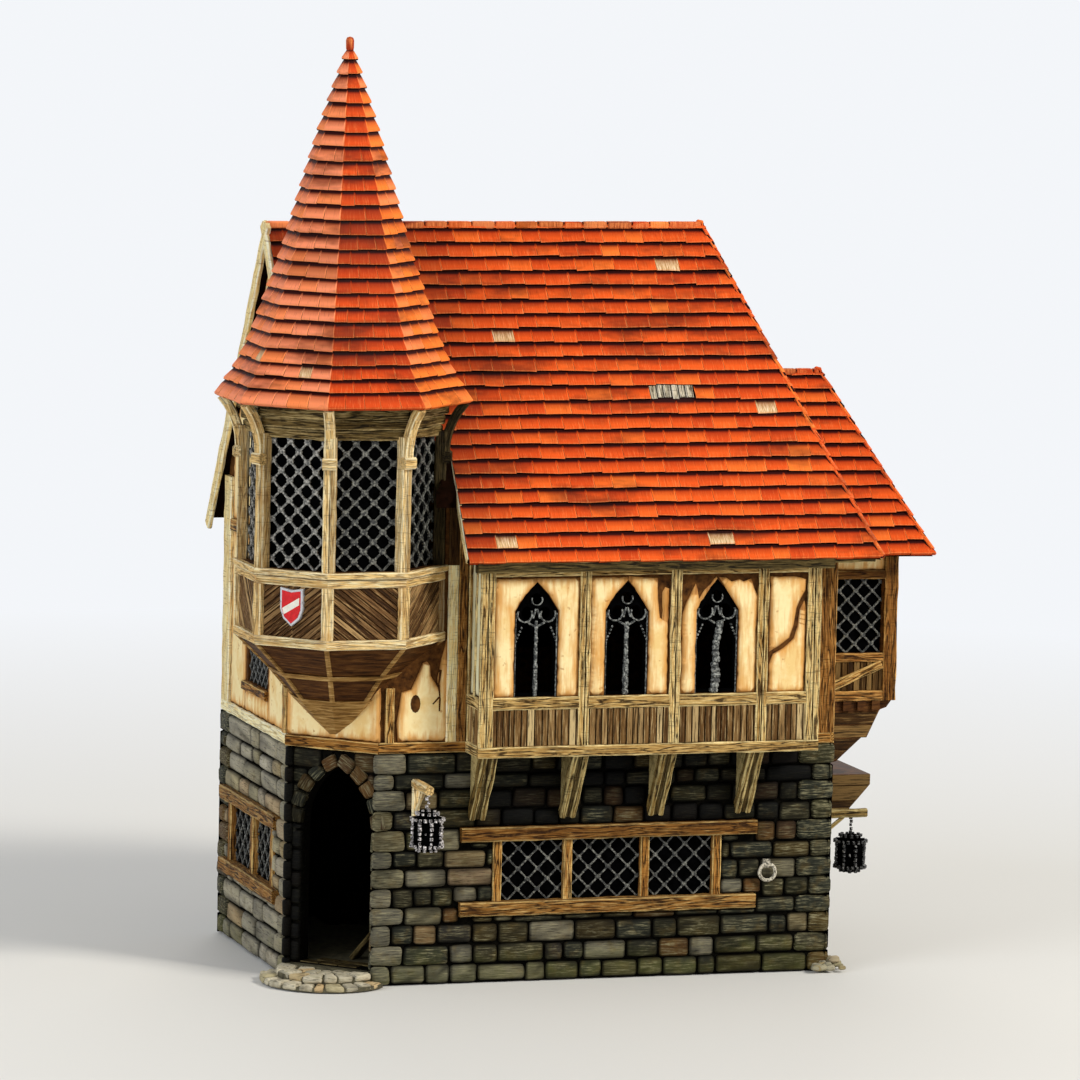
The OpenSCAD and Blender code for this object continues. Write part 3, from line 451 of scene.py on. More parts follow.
def rock(shape, place, a, b, r=0.9, mark=0.3, rough=0.22):
    """Rounded block between two corners. place(p, q, r) gives its points in the house's plan."""
    seed = Vector(shape.draw(3, 200))
    tone, twin = shape.rng.random(), shape.rng.random()
    centre = [(p + q) / 2 for p, q in zip(a, b)]
    half = [(q - p) / 2 for p, q in zip(a, b)]
    r = min([r] + half)
    lines = [[-h, -h + r * 0.3, -h + r, h - r, h - r * 0.3, h] for h in half]
    index, points, grain, relief = {}, [], [], []

    def vertex(key):
        if key not in index:
            p = [line[i] for line, i in zip(lines, key)]
            core = [max(-h + r, min(h - r, c)) for c, h in zip(p, half)]
            d = Vector([x - y for x, y in zip(p, core)])
            if d.length > 0:
                d.normalize()
            q = [c + x * r + m for c, x, m in zip(core, d, centre)]
            bump = noise.noise(Vector(q) * 0.4 + seed) * rough
            q = [x + y * bump for x, y in zip(q, d)]
            index[key] = len(points)
            points.append(place(*q))
            grain.append((q[0] + seed[0], q[2] + seed[1], q[1] + seed[2]))
            relief.append(0.75 + 0.25 * max(abs(c) for c in d) + bump)
        return index[key]

    faces = []
    for axis in range(3):
        for side in (0, 5):
            for i in range(5):
                for j in range(5):
                    quad = []
                    for di, dj in ((0, 0), (1, 0), (1, 1), (0, 1)):
                        key = [side, i + di, j + dj]
                        quad.append(vertex(tuple(key[-axis:] + key[:-axis])))
                    faces.append(quad)
    shape.add(points, grain, faces, [[(tone, relief[q], mark, twin) for q in f] for f in faces])


def arc_rock(shape, place, a, b, radius, mark=0.3):
    """Rounded block whose first coordinate is an angle in degrees on that radius."""
    k = math.radians(1) * radius
    rock(shape, lambda p, q, r: place(p / k, q, r), (a[0] * k, *a[1:]), (b[0] * k, *b[1:]),
         r=0.7, mark=mark, rough=0.4)


def ridge_stones(shape, start, end, z, drop, least, most, short=0.0):
    """Rounded ridge tiles one after another, from start to end along the ridge."""
    x = start
    while x < end - 0.5:
        step = min(shape.rng.uniform(least, most), end - x)
        if end - x - step < short:
            step = end - x
        rock(shape, xyz, (x, RIDGE_Y - 1.3, z - drop[0]),
             (x + step - 0.15, RIDGE_Y + 1.3, z - drop[1]), r=0.5, mark=0.0, rough=0.15)
        x += step


def rgb(r, g, b):
    """Linear colour of an 8-bit sRGB one."""
    def lin(c):
        c /= 255
        return c / 12.92 if c <= 0.04045 else ((c + 0.055) / 1.055) ** 2.4
    return (lin(r), lin(g), lin(b), 1.0)


class Paint:
    """A node material under construction. Its colours are 8-bit sRGB values."""

    def __init__(self, name, roughness=0.6, specular=0.3):
        self.mat = bpy.data.materials.new(name)
        self.mat.use_nodes = True
        self.tree = self.mat.node_tree
        self.shader = self.tree.nodes["Principled BSDF"]
        self.shader.inputs["Roughness"].default_value = roughness
        self.shader.inputs["Specular IOR Level"].default_value = specular

    def node(self, kind, **props):
        n = self.tree.nodes.new(kind)
        for key, value in props.items():
            setattr(n, key, value)
        return n

    def link(self, a, b):
        self.tree.links.new(a, b)

    def put(self, value, socket):
        """Sets a socket to a number or colour, or links it to an output."""
        if hasattr(value, "is_output"):
            self.link(value, socket)
        elif isinstance(value, tuple):
            socket.default_value = rgb(*value)
        else:
            socket.default_value = value

    def tint(self):
        """The four parts of tint: tone, relief, mark and twin."""
        n = self.node("ShaderNodeAttribute", attribute_name="tint")
        s = self.node("ShaderNodeSeparateColor")
        self.link(n.outputs["Color"], s.inputs[0])
        return s.outputs[0], s.outputs[1], s.outputs[2], n.outputs["Alpha"]

    def grain(self):
        return self.node("ShaderNodeAttribute", attribute_name="grain").outputs["Vector"]

    def place(self):
        """Place on the object in millimetres."""
        c = self.node("ShaderNodeTexCoord")
        return self.scaled(c.outputs["Object"], (1000, 1000, 1000))

    def scaled(self, vector, scale, shift=(0, 0, 0)):
        m = self.node("ShaderNodeMapping")
        self.link(vector, m.inputs["Vector"])
        m.inputs["Scale"].default_value = scale
        m.inputs["Location"].default_value = shift
        return m.outputs[0]

    def noise(self, vector, scale, detail=4.0, rough=0.55, warp=0.0):
        n = self.node("ShaderNodeTexNoise")
        self.link(vector, n.inputs["Vector"])
        n.inputs["Scale"].default_value = scale
        n.inputs["Detail"].default_value = detail
        n.inputs["Roughness"].default_value = rough
        n.inputs["Distortion"].default_value = warp
        return n.outputs["Fac"]

    def ramp(self, value, *stops, mode="LINEAR"):
        """Value through colour stops. A stop is a number or a colour."""
        n = self.node("ShaderNodeValToRGB")
        self.link(value, n.inputs[0])
        ramp = n.color_ramp
        ramp.interpolation = mode
        while len(ramp.elements) < len(stops):
            ramp.elements.new(0.5)
        for e, (at, colour) in zip(ramp.elements, stops):
            e.position = at
            e.color = rgb(*colour) if isinstance(colour, tuple) else (colour, colour, colour, 1)
        return n.outputs[0]

    def mix(self, fac, a, b, blend="MIX"):
        n = self.node("ShaderNodeMix", data_type="RGBA", blend_type=blend)
        self.put(fac, n.inputs[0])
        self.put(a, n.inputs[6])
        self.put(b, n.inputs[7])
        return n.outputs[2]

    def math(self, op, a, b=0.0, clamp=False):
        n = self.node("ShaderNodeMath", operation=op, use_clamp=clamp)
        self.put(a, n.inputs[0])
        self.put(b, n.inputs[1])
        return n.outputs[0]

    def times(self, a, b):
        return self.math("MULTIPLY", a, b)

    def minus(self, a, b):
        return self.math("SUBTRACT", a, b)

    def height(self, vector):
        s = self.node("ShaderNodeSeparateXYZ")
        self.link(vector, s.inputs[0])
        return s.outputs[2]

    def layers(self, pitch=0.42):
        """Fine level lines, as a printed miniature shows."""
        z = self.height(self.place())
        wave = self.math("SINE", self.math("MULTIPLY", z, 2 * math.pi / pitch))
        return self.math("MULTIPLY_ADD", wave, 0.5)

    def finish(self, colour, bumps=()):
        """Links the colour and the bumps, each (height, strength, millimetres)."""
        self.put(colour, self.shader.inputs["Base Color"])
        last = None
        for value, strength, distance in bumps:
            b = self.node("ShaderNodeBump")
            b.inputs["Strength"].default_value = strength
            b.inputs["Distance"].default_value = distance * MM
            self.link(value, b.inputs["Height"])
            if last:
                self.link(last, b.inputs["Normal"])
            last = b.outputs[0]
        if last:
            self.link(last, self.shader.inputs["Normal"])
        return self.mat


def stone_paint():
    """Dark washed stone, dry brushed along level lines, with painted shade at each stone's rim. Its
    mark sets how light a stone is, and carries painted light on a lit wall and painted shade where
    stones lie in shadow.
    """
    p = Paint("stone", 0.6, 0.08)
    tone, relief, mark, _ = p.tint()
    g = p.grain()
    base = p.ramp(tone, (0.0, (34, 37, 30)), (0.3, (48, 49, 38)), (0.5, (56, 52, 34)),
                  (0.68, (45, 45, 26)), (0.8, (70, 58, 31)), (0.92, (94, 64, 31)),
                  (1.0, (39, 41, 37)))
    light = p.ramp(tone, (0.0, (184, 176, 154)), (0.45, (214, 204, 178)), (0.75, (190, 178, 140)),
                   (0.9, (206, 176, 130)), (1.0, (226, 220, 198)))
    # mark above 0.3 lightens a stone: paler stones, and painted light on the lit left wall
    base = p.mix(p.ramp(mark, (0.3, 0.0), (1.0, 1.0)), base, light)
    patch = p.noise(g, 0.3, 3)
    base = p.mix(p.ramp(patch, (0.52, 0.0), (0.72, 0.55)), base, (92, 76, 40))
    lines = p.noise(p.scaled(g, (0.22, 2.6, 0.8)), 1.1, 4, 0.65)
    high = p.ramp(relief, (0.55, 0.0), (0.9, 1.0))
    dry = p.times(p.ramp(lines, (0.50, 0.0), (0.61, 1.0)), high)
    worn = p.noise(g, 0.35, 3, 0.6)
    dry = p.times(dry, p.ramp(worn, (0.36, 0.25), (0.58, 1.0)))
    colour = p.mix(p.times(dry, 0.7), base, (150, 144, 112))
    colour = p.mix(p.ramp(lines, (0.34, 0.75), (0.46, 0.0)), colour, (22, 22, 18))
    moss = p.noise(p.place(), 0.12, 4, 0.6)
    low = p.minus(p.times(moss, 24.0), p.height(p.place()))
    mossy = p.times(p.ramp(p.times(low, 0.1), (0.3, 0.0), (1.0, 0.32)),
                    p.ramp(mark, (0.6, 1.0), (0.75, 0.0)))
    colour = p.mix(mossy, colour, (104, 106, 54))
    # mark below 0.3 darkens a stone: painted shade under the bay and at the doorway's left side
    colour = p.mix(1.0, colour, p.ramp(mark, (0.0, 0.03), (0.3, 1.0)), "MULTIPLY")
    # painted shade towards each stone's rim, down into the joints
    colour = p.mix(1.0, colour, p.ramp(relief, (0.0, 0.0), (0.62, 0.36), (0.94, 1.0)), "MULTIPLY")
    return p.finish(colour, [(lines, 0.7, 0.4), (p.layers(), 0.1, 0.1)])


def mortar_paint():
    """Near black bed between the stones."""
    p = Paint("mortar", 0.9, 0.0)
    n = p.noise(p.place(), 0.8, 4)
    return p.finish(p.ramp(n, (0.3, (7, 7, 6)), (0.8, (22, 20, 16))), [(n, 0.6, 0.4)])


def wood_paint(name, dark, mid, light, edge, veins=1.0):
    """Carved timber: dark veins along the grain, and pale worn edges. mark darkens a piece, which
    also paints shade on pieces that lie in shadow.
    """
    p = Paint(name, 0.6, 0.08)
    tone, relief, mark, _ = p.tint()
    g = p.grain()
    flow = p.noise(p.scaled(g, (0.045, 0.6, 0.6)), 1.0, 2, 0.5, 0.4)
    cycle = p.math("FRACT", p.times(flow, 6.0))
    vein = p.ramp(p.math("ABSOLUTE", p.minus(cycle, 0.5)), (0.0, 1.0), (0.10, 0.9), (0.24, 0.0))
    fine = p.noise(p.scaled(g, (0.16, 2.6, 2.6)), 1.4, 4, 0.65, 0.2)
    level = p.math("ADD", fine, p.times(p.minus(tone, 0.5), 0.16))
    colour = p.ramp(level, (0.32, mid), (0.52, light), (0.70, edge))
    worn = p.noise(g, 0.6, 4, 0.6)
    rim = p.times(p.ramp(relief, (0.4, 0.0), (0.9, 1.0)), p.ramp(worn, (0.34, 0.4), (0.55, 1.0)))
    colour = p.mix(p.times(rim, 0.9), colour, edge)
    deep = p.times(vein, p.ramp(worn, (0.30, 0.35), (0.5, 1.0)))
    deep = p.times(deep, p.minus(1.0, p.times(rim, 0.7)))
    colour = p.mix(p.times(deep, 0.95 * veins), colour, dark)
    wash = p.noise(p.place(), 0.14, 3)
    colour = p.mix(p.ramp(wash, (0.5, 0.0), (0.75, 0.55)), colour, mid, "MULTIPLY")
    ticks = p.noise(p.scaled(p.place(), (0.2, 0.2, 2.6)), 1.0, 3, 0.7)
    colour = p.mix(p.ramp(ticks, (0.57, 0.0), (0.66, 0.6)), colour, dark)
    # mark darkens the piece: painted shade where it lies in shadow
    colour = p.mix(p.times(mark, 0.9), colour, dark)
    return p.finish(colour, [(p.minus(fine, p.times(deep, 0.8)), 0.7, 0.6)])


def board_paint(name, *tones):
    """Weathered boards: the first colour lies in their cracks, each board is one of the others."""
    p = Paint(name, 0.65, 0.08)
    tone, relief, mark, _ = p.tint()
    last = len(tones) - 2
    base = p.ramp(tone, *[(i / last, c) for i, c in enumerate(tones[1:])])
    streak = p.noise(p.scaled(p.grain(), (0.10, 1.7, 1.7)), 1.3, 4, 0.65, 0.2)
    colour = p.mix(p.ramp(streak, (0.36, 0.9), (0.5, 0.0)), base, tones[0])
    colour = p.mix(p.ramp(streak, (0.55, 0.0), (0.68, 0.8)), colour, tones[-1])
    worn = p.noise(p.grain(), 0.5, 3, 0.6)
    rim = p.times(p.ramp(relief, (0.5, 0.0), (1.0, 0.9)), p.ramp(worn, (0.4, 0.1), (0.6, 1.0)))
    colour = p.mix(rim, colour, tones[-1])
    colour = p.mix(p.times(mark, 0.9), colour, tones[0])
    # painted shade on the sides and backs of the boards, in the gaps between them
    colour = p.mix(1.0, colour, p.ramp(relief, (0.0, 0.25), (0.25, 1.0)), "MULTIPLY")
    return p.finish(colour, [(streak, 0.6, 0.6)])


def tile_paint():
    """Clay tiles, with painted shade up under the course above. mark makes a tile pale, twin a
    sooty one.
    """
    p = Paint("roof_tile", 0.6, 0.1)
    tone, relief, mark, twin = p.tint()
    g = p.grain()
    base = p.ramp(tone, (0.0, (190, 56, 14)), (0.4, (220, 79, 22)), (0.6, (232, 90, 26)),
                  (0.8, (250, 132, 48)), (1.0, (252, 148, 104)))
    streak = p.noise(p.scaled(g, (2.6, 0.16, 1.0)), 1.2, 4, 0.7)
    low = p.ramp(relief, (0.5, 0.2), (0.9, 1.0))
    colour = p.mix(p.times(p.ramp(streak, (0.54, 0.0), (0.68, 0.55)), low), base, (248, 146, 80))
    colour = p.mix(p.ramp(streak, (0.30, 0.55), (0.43, 0.0)), colour, (128, 34, 12))
    cloud = p.noise(p.scaled(p.place(), (0.5, 0.5, 1.6)), 0.06, 4, 0.65)
    colour = p.mix(p.ramp(cloud, (0.52, 0.0), (0.66, 0.75)), colour, (112, 40, 16))
    colour = p.mix(p.times(twin, 0.8), colour, (84, 26, 12))
    pale = p.ramp(streak, (0.36, (150, 116, 70)), (0.5, (214, 184, 132)), (0.64, (244, 232, 200)))
    colour = p.mix(p.times(mark, 0.88), colour, pale)
    # painted shade: dark up under the course above, near black on the foot faces
    shade = p.ramp(relief, (0.0, (12, 4, 2)), (0.5, (54, 20, 13)), (0.68, (196, 170, 160)),
                   (0.86, (255, 255, 255)))
    colour = p.mix(1.0, colour, shade, "MULTIPLY")
    rim = p.times(p.ramp(relief, (0.93, 0.0), (1.0, 1.0)), p.ramp(streak, (0.4, 0.2), (0.6, 1.0)))
    colour = p.mix(p.times(rim, 0.6), colour, (255, 156, 88))
    return p.finish(colour, [(streak, 0.5, 0.35)])


def plaster_paint(name="plaster", shade=1.0):
    """Cream plaster, stained brown from its edges. grain holds the distance to an edge."""
    p = Paint(name, 0.65, 0.08)
    at = p.place()
    s = p.node("ShaderNodeSeparateXYZ")
    p.link(p.grain(), s.inputs[0])
    edge = s.outputs[0]
    streak = p.noise(p.scaled(at, (0.6, 0.6, 0.07)), 1.0, 4, 0.6)
    cloud = p.noise(at, 0.11, 4, 0.6)
    colour = p.ramp(cloud, (0.35, (232, 198, 132)), (0.52, (244, 224, 170)),
                    (0.72, (236, 206, 144)))
    near = p.math("ADD", edge, p.times(p.minus(streak, 0.5), 11.0))
    stain = p.ramp(p.times(near, 0.2), (0.0, 1.0), (0.22, 0.65), (0.55, 0.0))
    colour = p.mix(p.times(stain, 0.85 * shade), colour, (214, 152, 76))
    rim = p.times(p.ramp(edge, (0.0, 1.0), (0.45, 0.0)), p.ramp(streak, (0.42, 0.4), (0.56, 1.0)))
    colour = p.mix(p.times(rim, 0.85), colour, (140, 84, 32))
    spots = p.noise(at, 0.55, 2, 0.5)
    colour = p.mix(p.ramp(spots, (0.68, 0.0), (0.74, 0.6)), colour, (176, 112, 50))
    # the copy for faces in shade is painted paler and greener: painted light of the cool fill on a
    # shaded side
    if shade < 1:
        colour = p.mix(0.7, colour, (238, 246, 216))
    return p.finish(colour, [(cloud, 0.25, 0.3), (streak, 0.25, 0.25)])


def wood_plain(name, dark, mid, light, edge):
    """Wood for pieces without their own grain coordinates, its grain level."""
    p = Paint(name, 0.6, 0.08)
    n = p.noise(p.scaled(p.place(), (0.12, 0.12, 1.4)), 1.2, 5, 0.6, 0.5)
    colour = p.ramp(n, (0.30, dark), (0.46, mid), (0.60, light), (0.80, edge))
    return p.finish(colour, [(n, 0.5, 0.4), (p.layers(), 0.15, 0.1)])


def iron_paint(name, silver, cover, dark=(10, 10, 11)):
    """Dark metal, worn to silver over part of it."""
    p = Paint(name, 0.5, 0.4)
    n = p.noise(p.place(), 1.5, 4, 0.7)
    fac = p.ramp(n, (cover, 0.0), (cover + 0.14, 1.0))
    return p.finish(p.mix(fac, dark, silver), [(n, 0.5, 0.3)])


def plain_paint(name, a, b, scale, roughness=0.6, specular=0.25):
    """Two colours that blend in soft patches."""
    p = Paint(name, roughness, specular)
    n = p.noise(p.place(), scale, 4, 0.6)
    return p.finish(p.ramp(n, (0.3, a), (0.7, b)), [(n, 0.4, 0.3)])


STONE = stone_paint()
MORTAR = mortar_paint()
# Woods by their dark veins, middle, light and worn colours
TIMBER = wood_paint("timber", (38, 18, 5), (128, 82, 32), (176, 124, 58), (232, 198, 128))
BARE_WOOD = wood_paint("bare_boards", (70, 60, 44), (176, 164, 136), (214, 204, 180),
                       (240, 234, 216))
BRACKET = wood_paint("bracket_timber", (32, 22, 8), (104, 82, 40), (146, 120, 68), (208, 188, 130))
BAY_WOOD = wood_paint("bay_timber", (44, 26, 8), (154, 116, 58), (200, 164, 100), (244, 222, 160))
WARM_PALE = wood_paint("pale_timber", (80, 46, 16), (204, 160, 92), (236, 202, 136),
                       (254, 240, 196), 0.6)
# dark weathered timber, which also stands for painted shade on the turret's shaded corner and
# inside the doorway
WEATHERED_AND_SHADED = wood_paint("weathered_and_shaded_timber", (18, 13, 5), (54, 44, 22), (82, 68, 36), (132, 114, 72))
SLAT = board_paint("boards", (22, 12, 5), (62, 38, 18), (84, 57, 30), (108, 76, 44),
                   (186, 152, 102))
HEAD_BOARD = wood_paint("head_boards", (28, 20, 8), (86, 68, 34), (118, 96, 54), (186, 162, 110))
APRON = board_paint("apron_boards", (30, 16, 6), (92, 62, 30), (122, 90, 50), (150, 118, 74),
                    (214, 188, 136))
OLD_BOARD = board_paint("old_boards", (20, 12, 5), (66, 42, 17), (86, 59, 27), (110, 79, 40),
                        (172, 136, 82))
TILE = tile_paint()
PLASTER = plaster_paint()
PLASTER_SHADE = plaster_paint("shaded_plaster", 0.5)
IRON = iron_paint("iron", (168, 168, 166), 0.52)
STEEL = iron_paint("tether_steel", (206, 198, 178), 0.42, (82, 78, 68))
LEAD = iron_paint("lattice_bars", (124, 124, 116), 0.47, (36, 37, 36))
# lighter copy of the lattice lead for the turret's lit facets: painted light
LEAD_LIT = iron_paint("turret_lattice_bars_lit", (178, 174, 164), 0.46, (74, 74, 70))
LANTERN = iron_paint("lantern_silver", (232, 226, 224), 0.45, (58, 54, 54))
TRACERY = iron_paint("tracery", (150, 152, 146), 0.46, (34, 36, 36))
GLASS = plain_paint("dark_lights", (2, 2, 2), (6, 6, 7), 0.5, 0.7, 0.0)
BRICK = plain_paint("bare_wall", (40, 22, 10), (104, 66, 30), 0.5, 0.8, 0.05)
FLAGS = plain_paint("floor_stone", (48, 44, 32), (104, 98, 74), 0.6)
BROWN_PLAIN = wood_plain("brown_boards_plain", (20, 10, 4), (66, 38, 15), (92, 58, 26),
                         (126, 88, 48))
RIB = wood_plain("ribs", (60, 40, 18), (134, 98, 50), (174, 138, 82), (226, 198, 142))
PALE_WOOD = wood_paint("pale_board", (136, 100, 48), (244, 210, 136), (255, 238, 178),
                       (255, 252, 224), 0.45)
RUSSET = wood_paint("russet_timber", (36, 18, 6), (108, 66, 26), (154, 104, 48), (222, 172, 100))
DARK_TILE = plain_paint("under_tiles", (10, 6, 3), (28, 14, 8), 0.5, 0.9, 0.0)
RED = plain_paint("shield_red", (190, 16, 24), (226, 30, 36), 0.8, 0.4)
PALE = plain_paint("shield_pale", (226, 220, 200), (246, 242, 230), 0.8, 0.4)
IRON_BRIGHT = iron_paint("shield_silver", (206, 208, 212), 0.30)
# near black for the floor and stairs inside: painted shade inside the house
INSIDE = plain_paint("inside", (8, 7, 6), (22, 17, 12), 0.3, 0.9, 0.0)

STONE_ROWS = 12
# Gap between stones, and how far the mortar lies behind their faces
JOINT = 0.16
DEEP = 1.3


def courses():
    """Foot and top of each course of stones, a little uneven."""
    rng = random.Random(11)
    beds = [STONE_H * i / STONE_ROWS + (rng.uniform(-0.6, 0.6) if 0 < i < STONE_ROWS else 0)
            for i in range(STONE_ROWS + 1)]
    return list(enumerate(zip(beds, beds[1:])))


COURSES = courses()


# A corner this near to a plane, in metres, lies on it
FLUSH = 2e-5


def recessed(name, node, material, slot, planes):
    """Copy of a CAD node whose faces on the planes (point, normal, depth) lie that much deeper."""
    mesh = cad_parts[node].data.copy()
    moves = [(pt(*point), Vector(normal).normalized(), depth * MM) for point, normal,
             depth in planes]
    for v in mesh.vertices:
        for origin, n, depth in moves:
            gap = (origin - v.co).dot(n)
            if -FLUSH < gap < depth:
                v.co -= n * (depth - gap)
    mesh.materials.clear()
    mesh.materials.append(material)
    place_piece(name, mesh, slot, [node])


def free_parts(u0, u1, z0, z1, holes):
    """What is left of a stone's rectangle beside the openings, largest piece only."""
    for hu0, hu1, hz0, hz1 in holes:
        if u1 <= hu0 or u0 >= hu1 or z1 <= hz0 or z0 >= hz1:
            continue
        options = [(u0, min(u1, hu0), z0, z1), (max(u0, hu1), u1, z0, z1),
                   (u0, u1, z0, min(z1, hz0)), (u0, u1, max(z0, hz1), z1)]
        u0, u1, z0, z1 = max(options, key=lambda o: max(0, o[1] - o[0]) * max(0, o[3] - o[2]))
    return u0, u1, z0, z1


def stone_wall(shape, face, u0, u1, holes, left_quoin, right_quoin, mark, wide):
    """Courses of stones between the quoins, whose reach along the wall changes with each course.

    mark(u, z) gives how light the stones are there.
    """
    rng = shape.rng
    for i, (z0, z1) in COURSES:
        u, b = u0 + left_quoin(i), u1 - right_quoin(i)
        while u < b - 0.5:
            step = rng.choice((rng.uniform(5, 7.5), rng.uniform(7.5, 11),
                               rng.uniform(10, 15))) * wide
            if b - u - step < 5:
                step = b - u
            lo = z0 + JOINT / 2 + rng.uniform(-0.35, 0.35)
            s = free_parts(u + JOINT / 2, u + step - JOINT / 2, max(0.05, lo),
                           z1 - JOINT / 2 + rng.uniform(-0.35, 0.15), holes)
            if s[1] - s[0] > 1.6 and s[3] - s[2] > 1.4:
                tone = mark(u, z0) + rng.choice((-0.12, 0, 0, 0.14))
                pillow(shape, lambda p, q, w: face.at(p, w - DEEP, q), *s,
                       DEEP * rng.uniform(0.82, 1.12), mark=tone, rough=0.3)
            u += step


def door_end(i):
    """Reach along the wall of a corner stone by the door, in that course."""
    return 9 if i % 2 else 5.5


def house_end(i):
    """The same for the other corners."""
    return 10.5 if i % 2 else 6.5


def other_end(i):
    """The same for the wall that bonds into the courses between."""
    return house_end(i + 1)


def quoins(shape, corner, along_a, along_b, first):
    """Corner stones that bond into both walls. along_a and along_b point into the walls."""
    rng = shape.rng
    for i, (z0, z1) in COURSES:
        a = house_end(i + first) - JOINT
        b = house_end(i + first + 1) - JOINT
        z0, z1 = z0 + JOINT / 2, z1 - JOINT / 2
        out = rng.uniform(-0.1, 0.25)

        def place(p, q, r):
            return (corner[0] + along_a[0] * p + along_b[0] * q,
                    corner[1] + along_a[1] * p + along_b[1] * q, r)
        rock(shape, place, (-out, -out, max(0.02, z0)), (a, b, z1), r=1.4, rough=0.35)


def build_stone_storey():
    """Dark mortar beds, and the stones of the four walls and corners."""
    for side, point, out in (("front", (60, 0, 0), (0, -1, 0)), ("left", (0, 60, 0), (-1, 0, 0)),
                             ("back", (60, BODY_D, 0), (0, 1, 0)),
                             ("right", (BODY_L, 60, 0), (1, 0, 0))):
        recessed(side + "_mortar", "stone_wall_" + side, MORTAR, "stone", [(point, out, DEEP)])

    def window(u0, u1, light0, light1):
        return [(u0, u1, WIN_SILL - BEAM_H, WIN_SILL), (u0, u1, WIN_HEAD, WIN_HEAD + BEAM_H),
                (light0, light1, WIN_SILL - 1, WIN_HEAD + 1)]

    # stones under the bay are painted dark: painted shade under the jetty
    def under_bay(u, z):
        return 0.06 if BAY0 < u < BAY1 - 6 and z > WIN_HEAD - 2 else 0.3

    # name, face, ends, openings, corner stones left and right, lightness with its painted light and
    # shade, length of the stones
    walls = [("front_stones", FRONT, CUT, BODY_L, window(44.7, BODY_L - 22.6, 54.2, 120.4),
              door_end, house_end, under_bay, 1.0),
             # the left wall's stones are painted lighter: painted light on the lit side
             ("left_stones", LEFT, CUT, BODY_D, window(27.8, 86.5, 33.2, 81.1), door_end,
              house_end, lambda u, z: 0.75, 1.45),
             ("back_stones", BACK, 0, BODY_L, window(85, 141, 95, 131), other_end, other_end,
              lambda u, z: 0.4, 1.1),
             ("right_stones", RIGHT, 0, BODY_D, [], other_end, house_end, lambda u, z: 0.4, 1.1)]
    for seed, (name, face, u0, u1, holes, left, right, mark, wide) in enumerate(walls):
        s = Shape(21 + seed)
        stone_wall(s, face, u0, u1, holes, left, right, mark, wide)
        s.build(name, STONE, "stone", smooth=True)
    s = Shape(25)
    quoins(s, (BODY_L, 0), (-1, 0), (0, 1), 0)
    quoins(s, (BODY_L, BODY_D), (-1, 0), (0, -1), 1)
    quoins(s, (0, BODY_D), (1, 0), (0, -1), 1)
    s.build("quoins", STONE, "stone", smooth=True)


# Half of the cut corner's width at the depth of the door wall
DOOR_REVEAL = CUT * R2 - DOOR_RECESS * math.tan(TURN)
# Stones on each side of the arch
VOUSSOIRS = 5


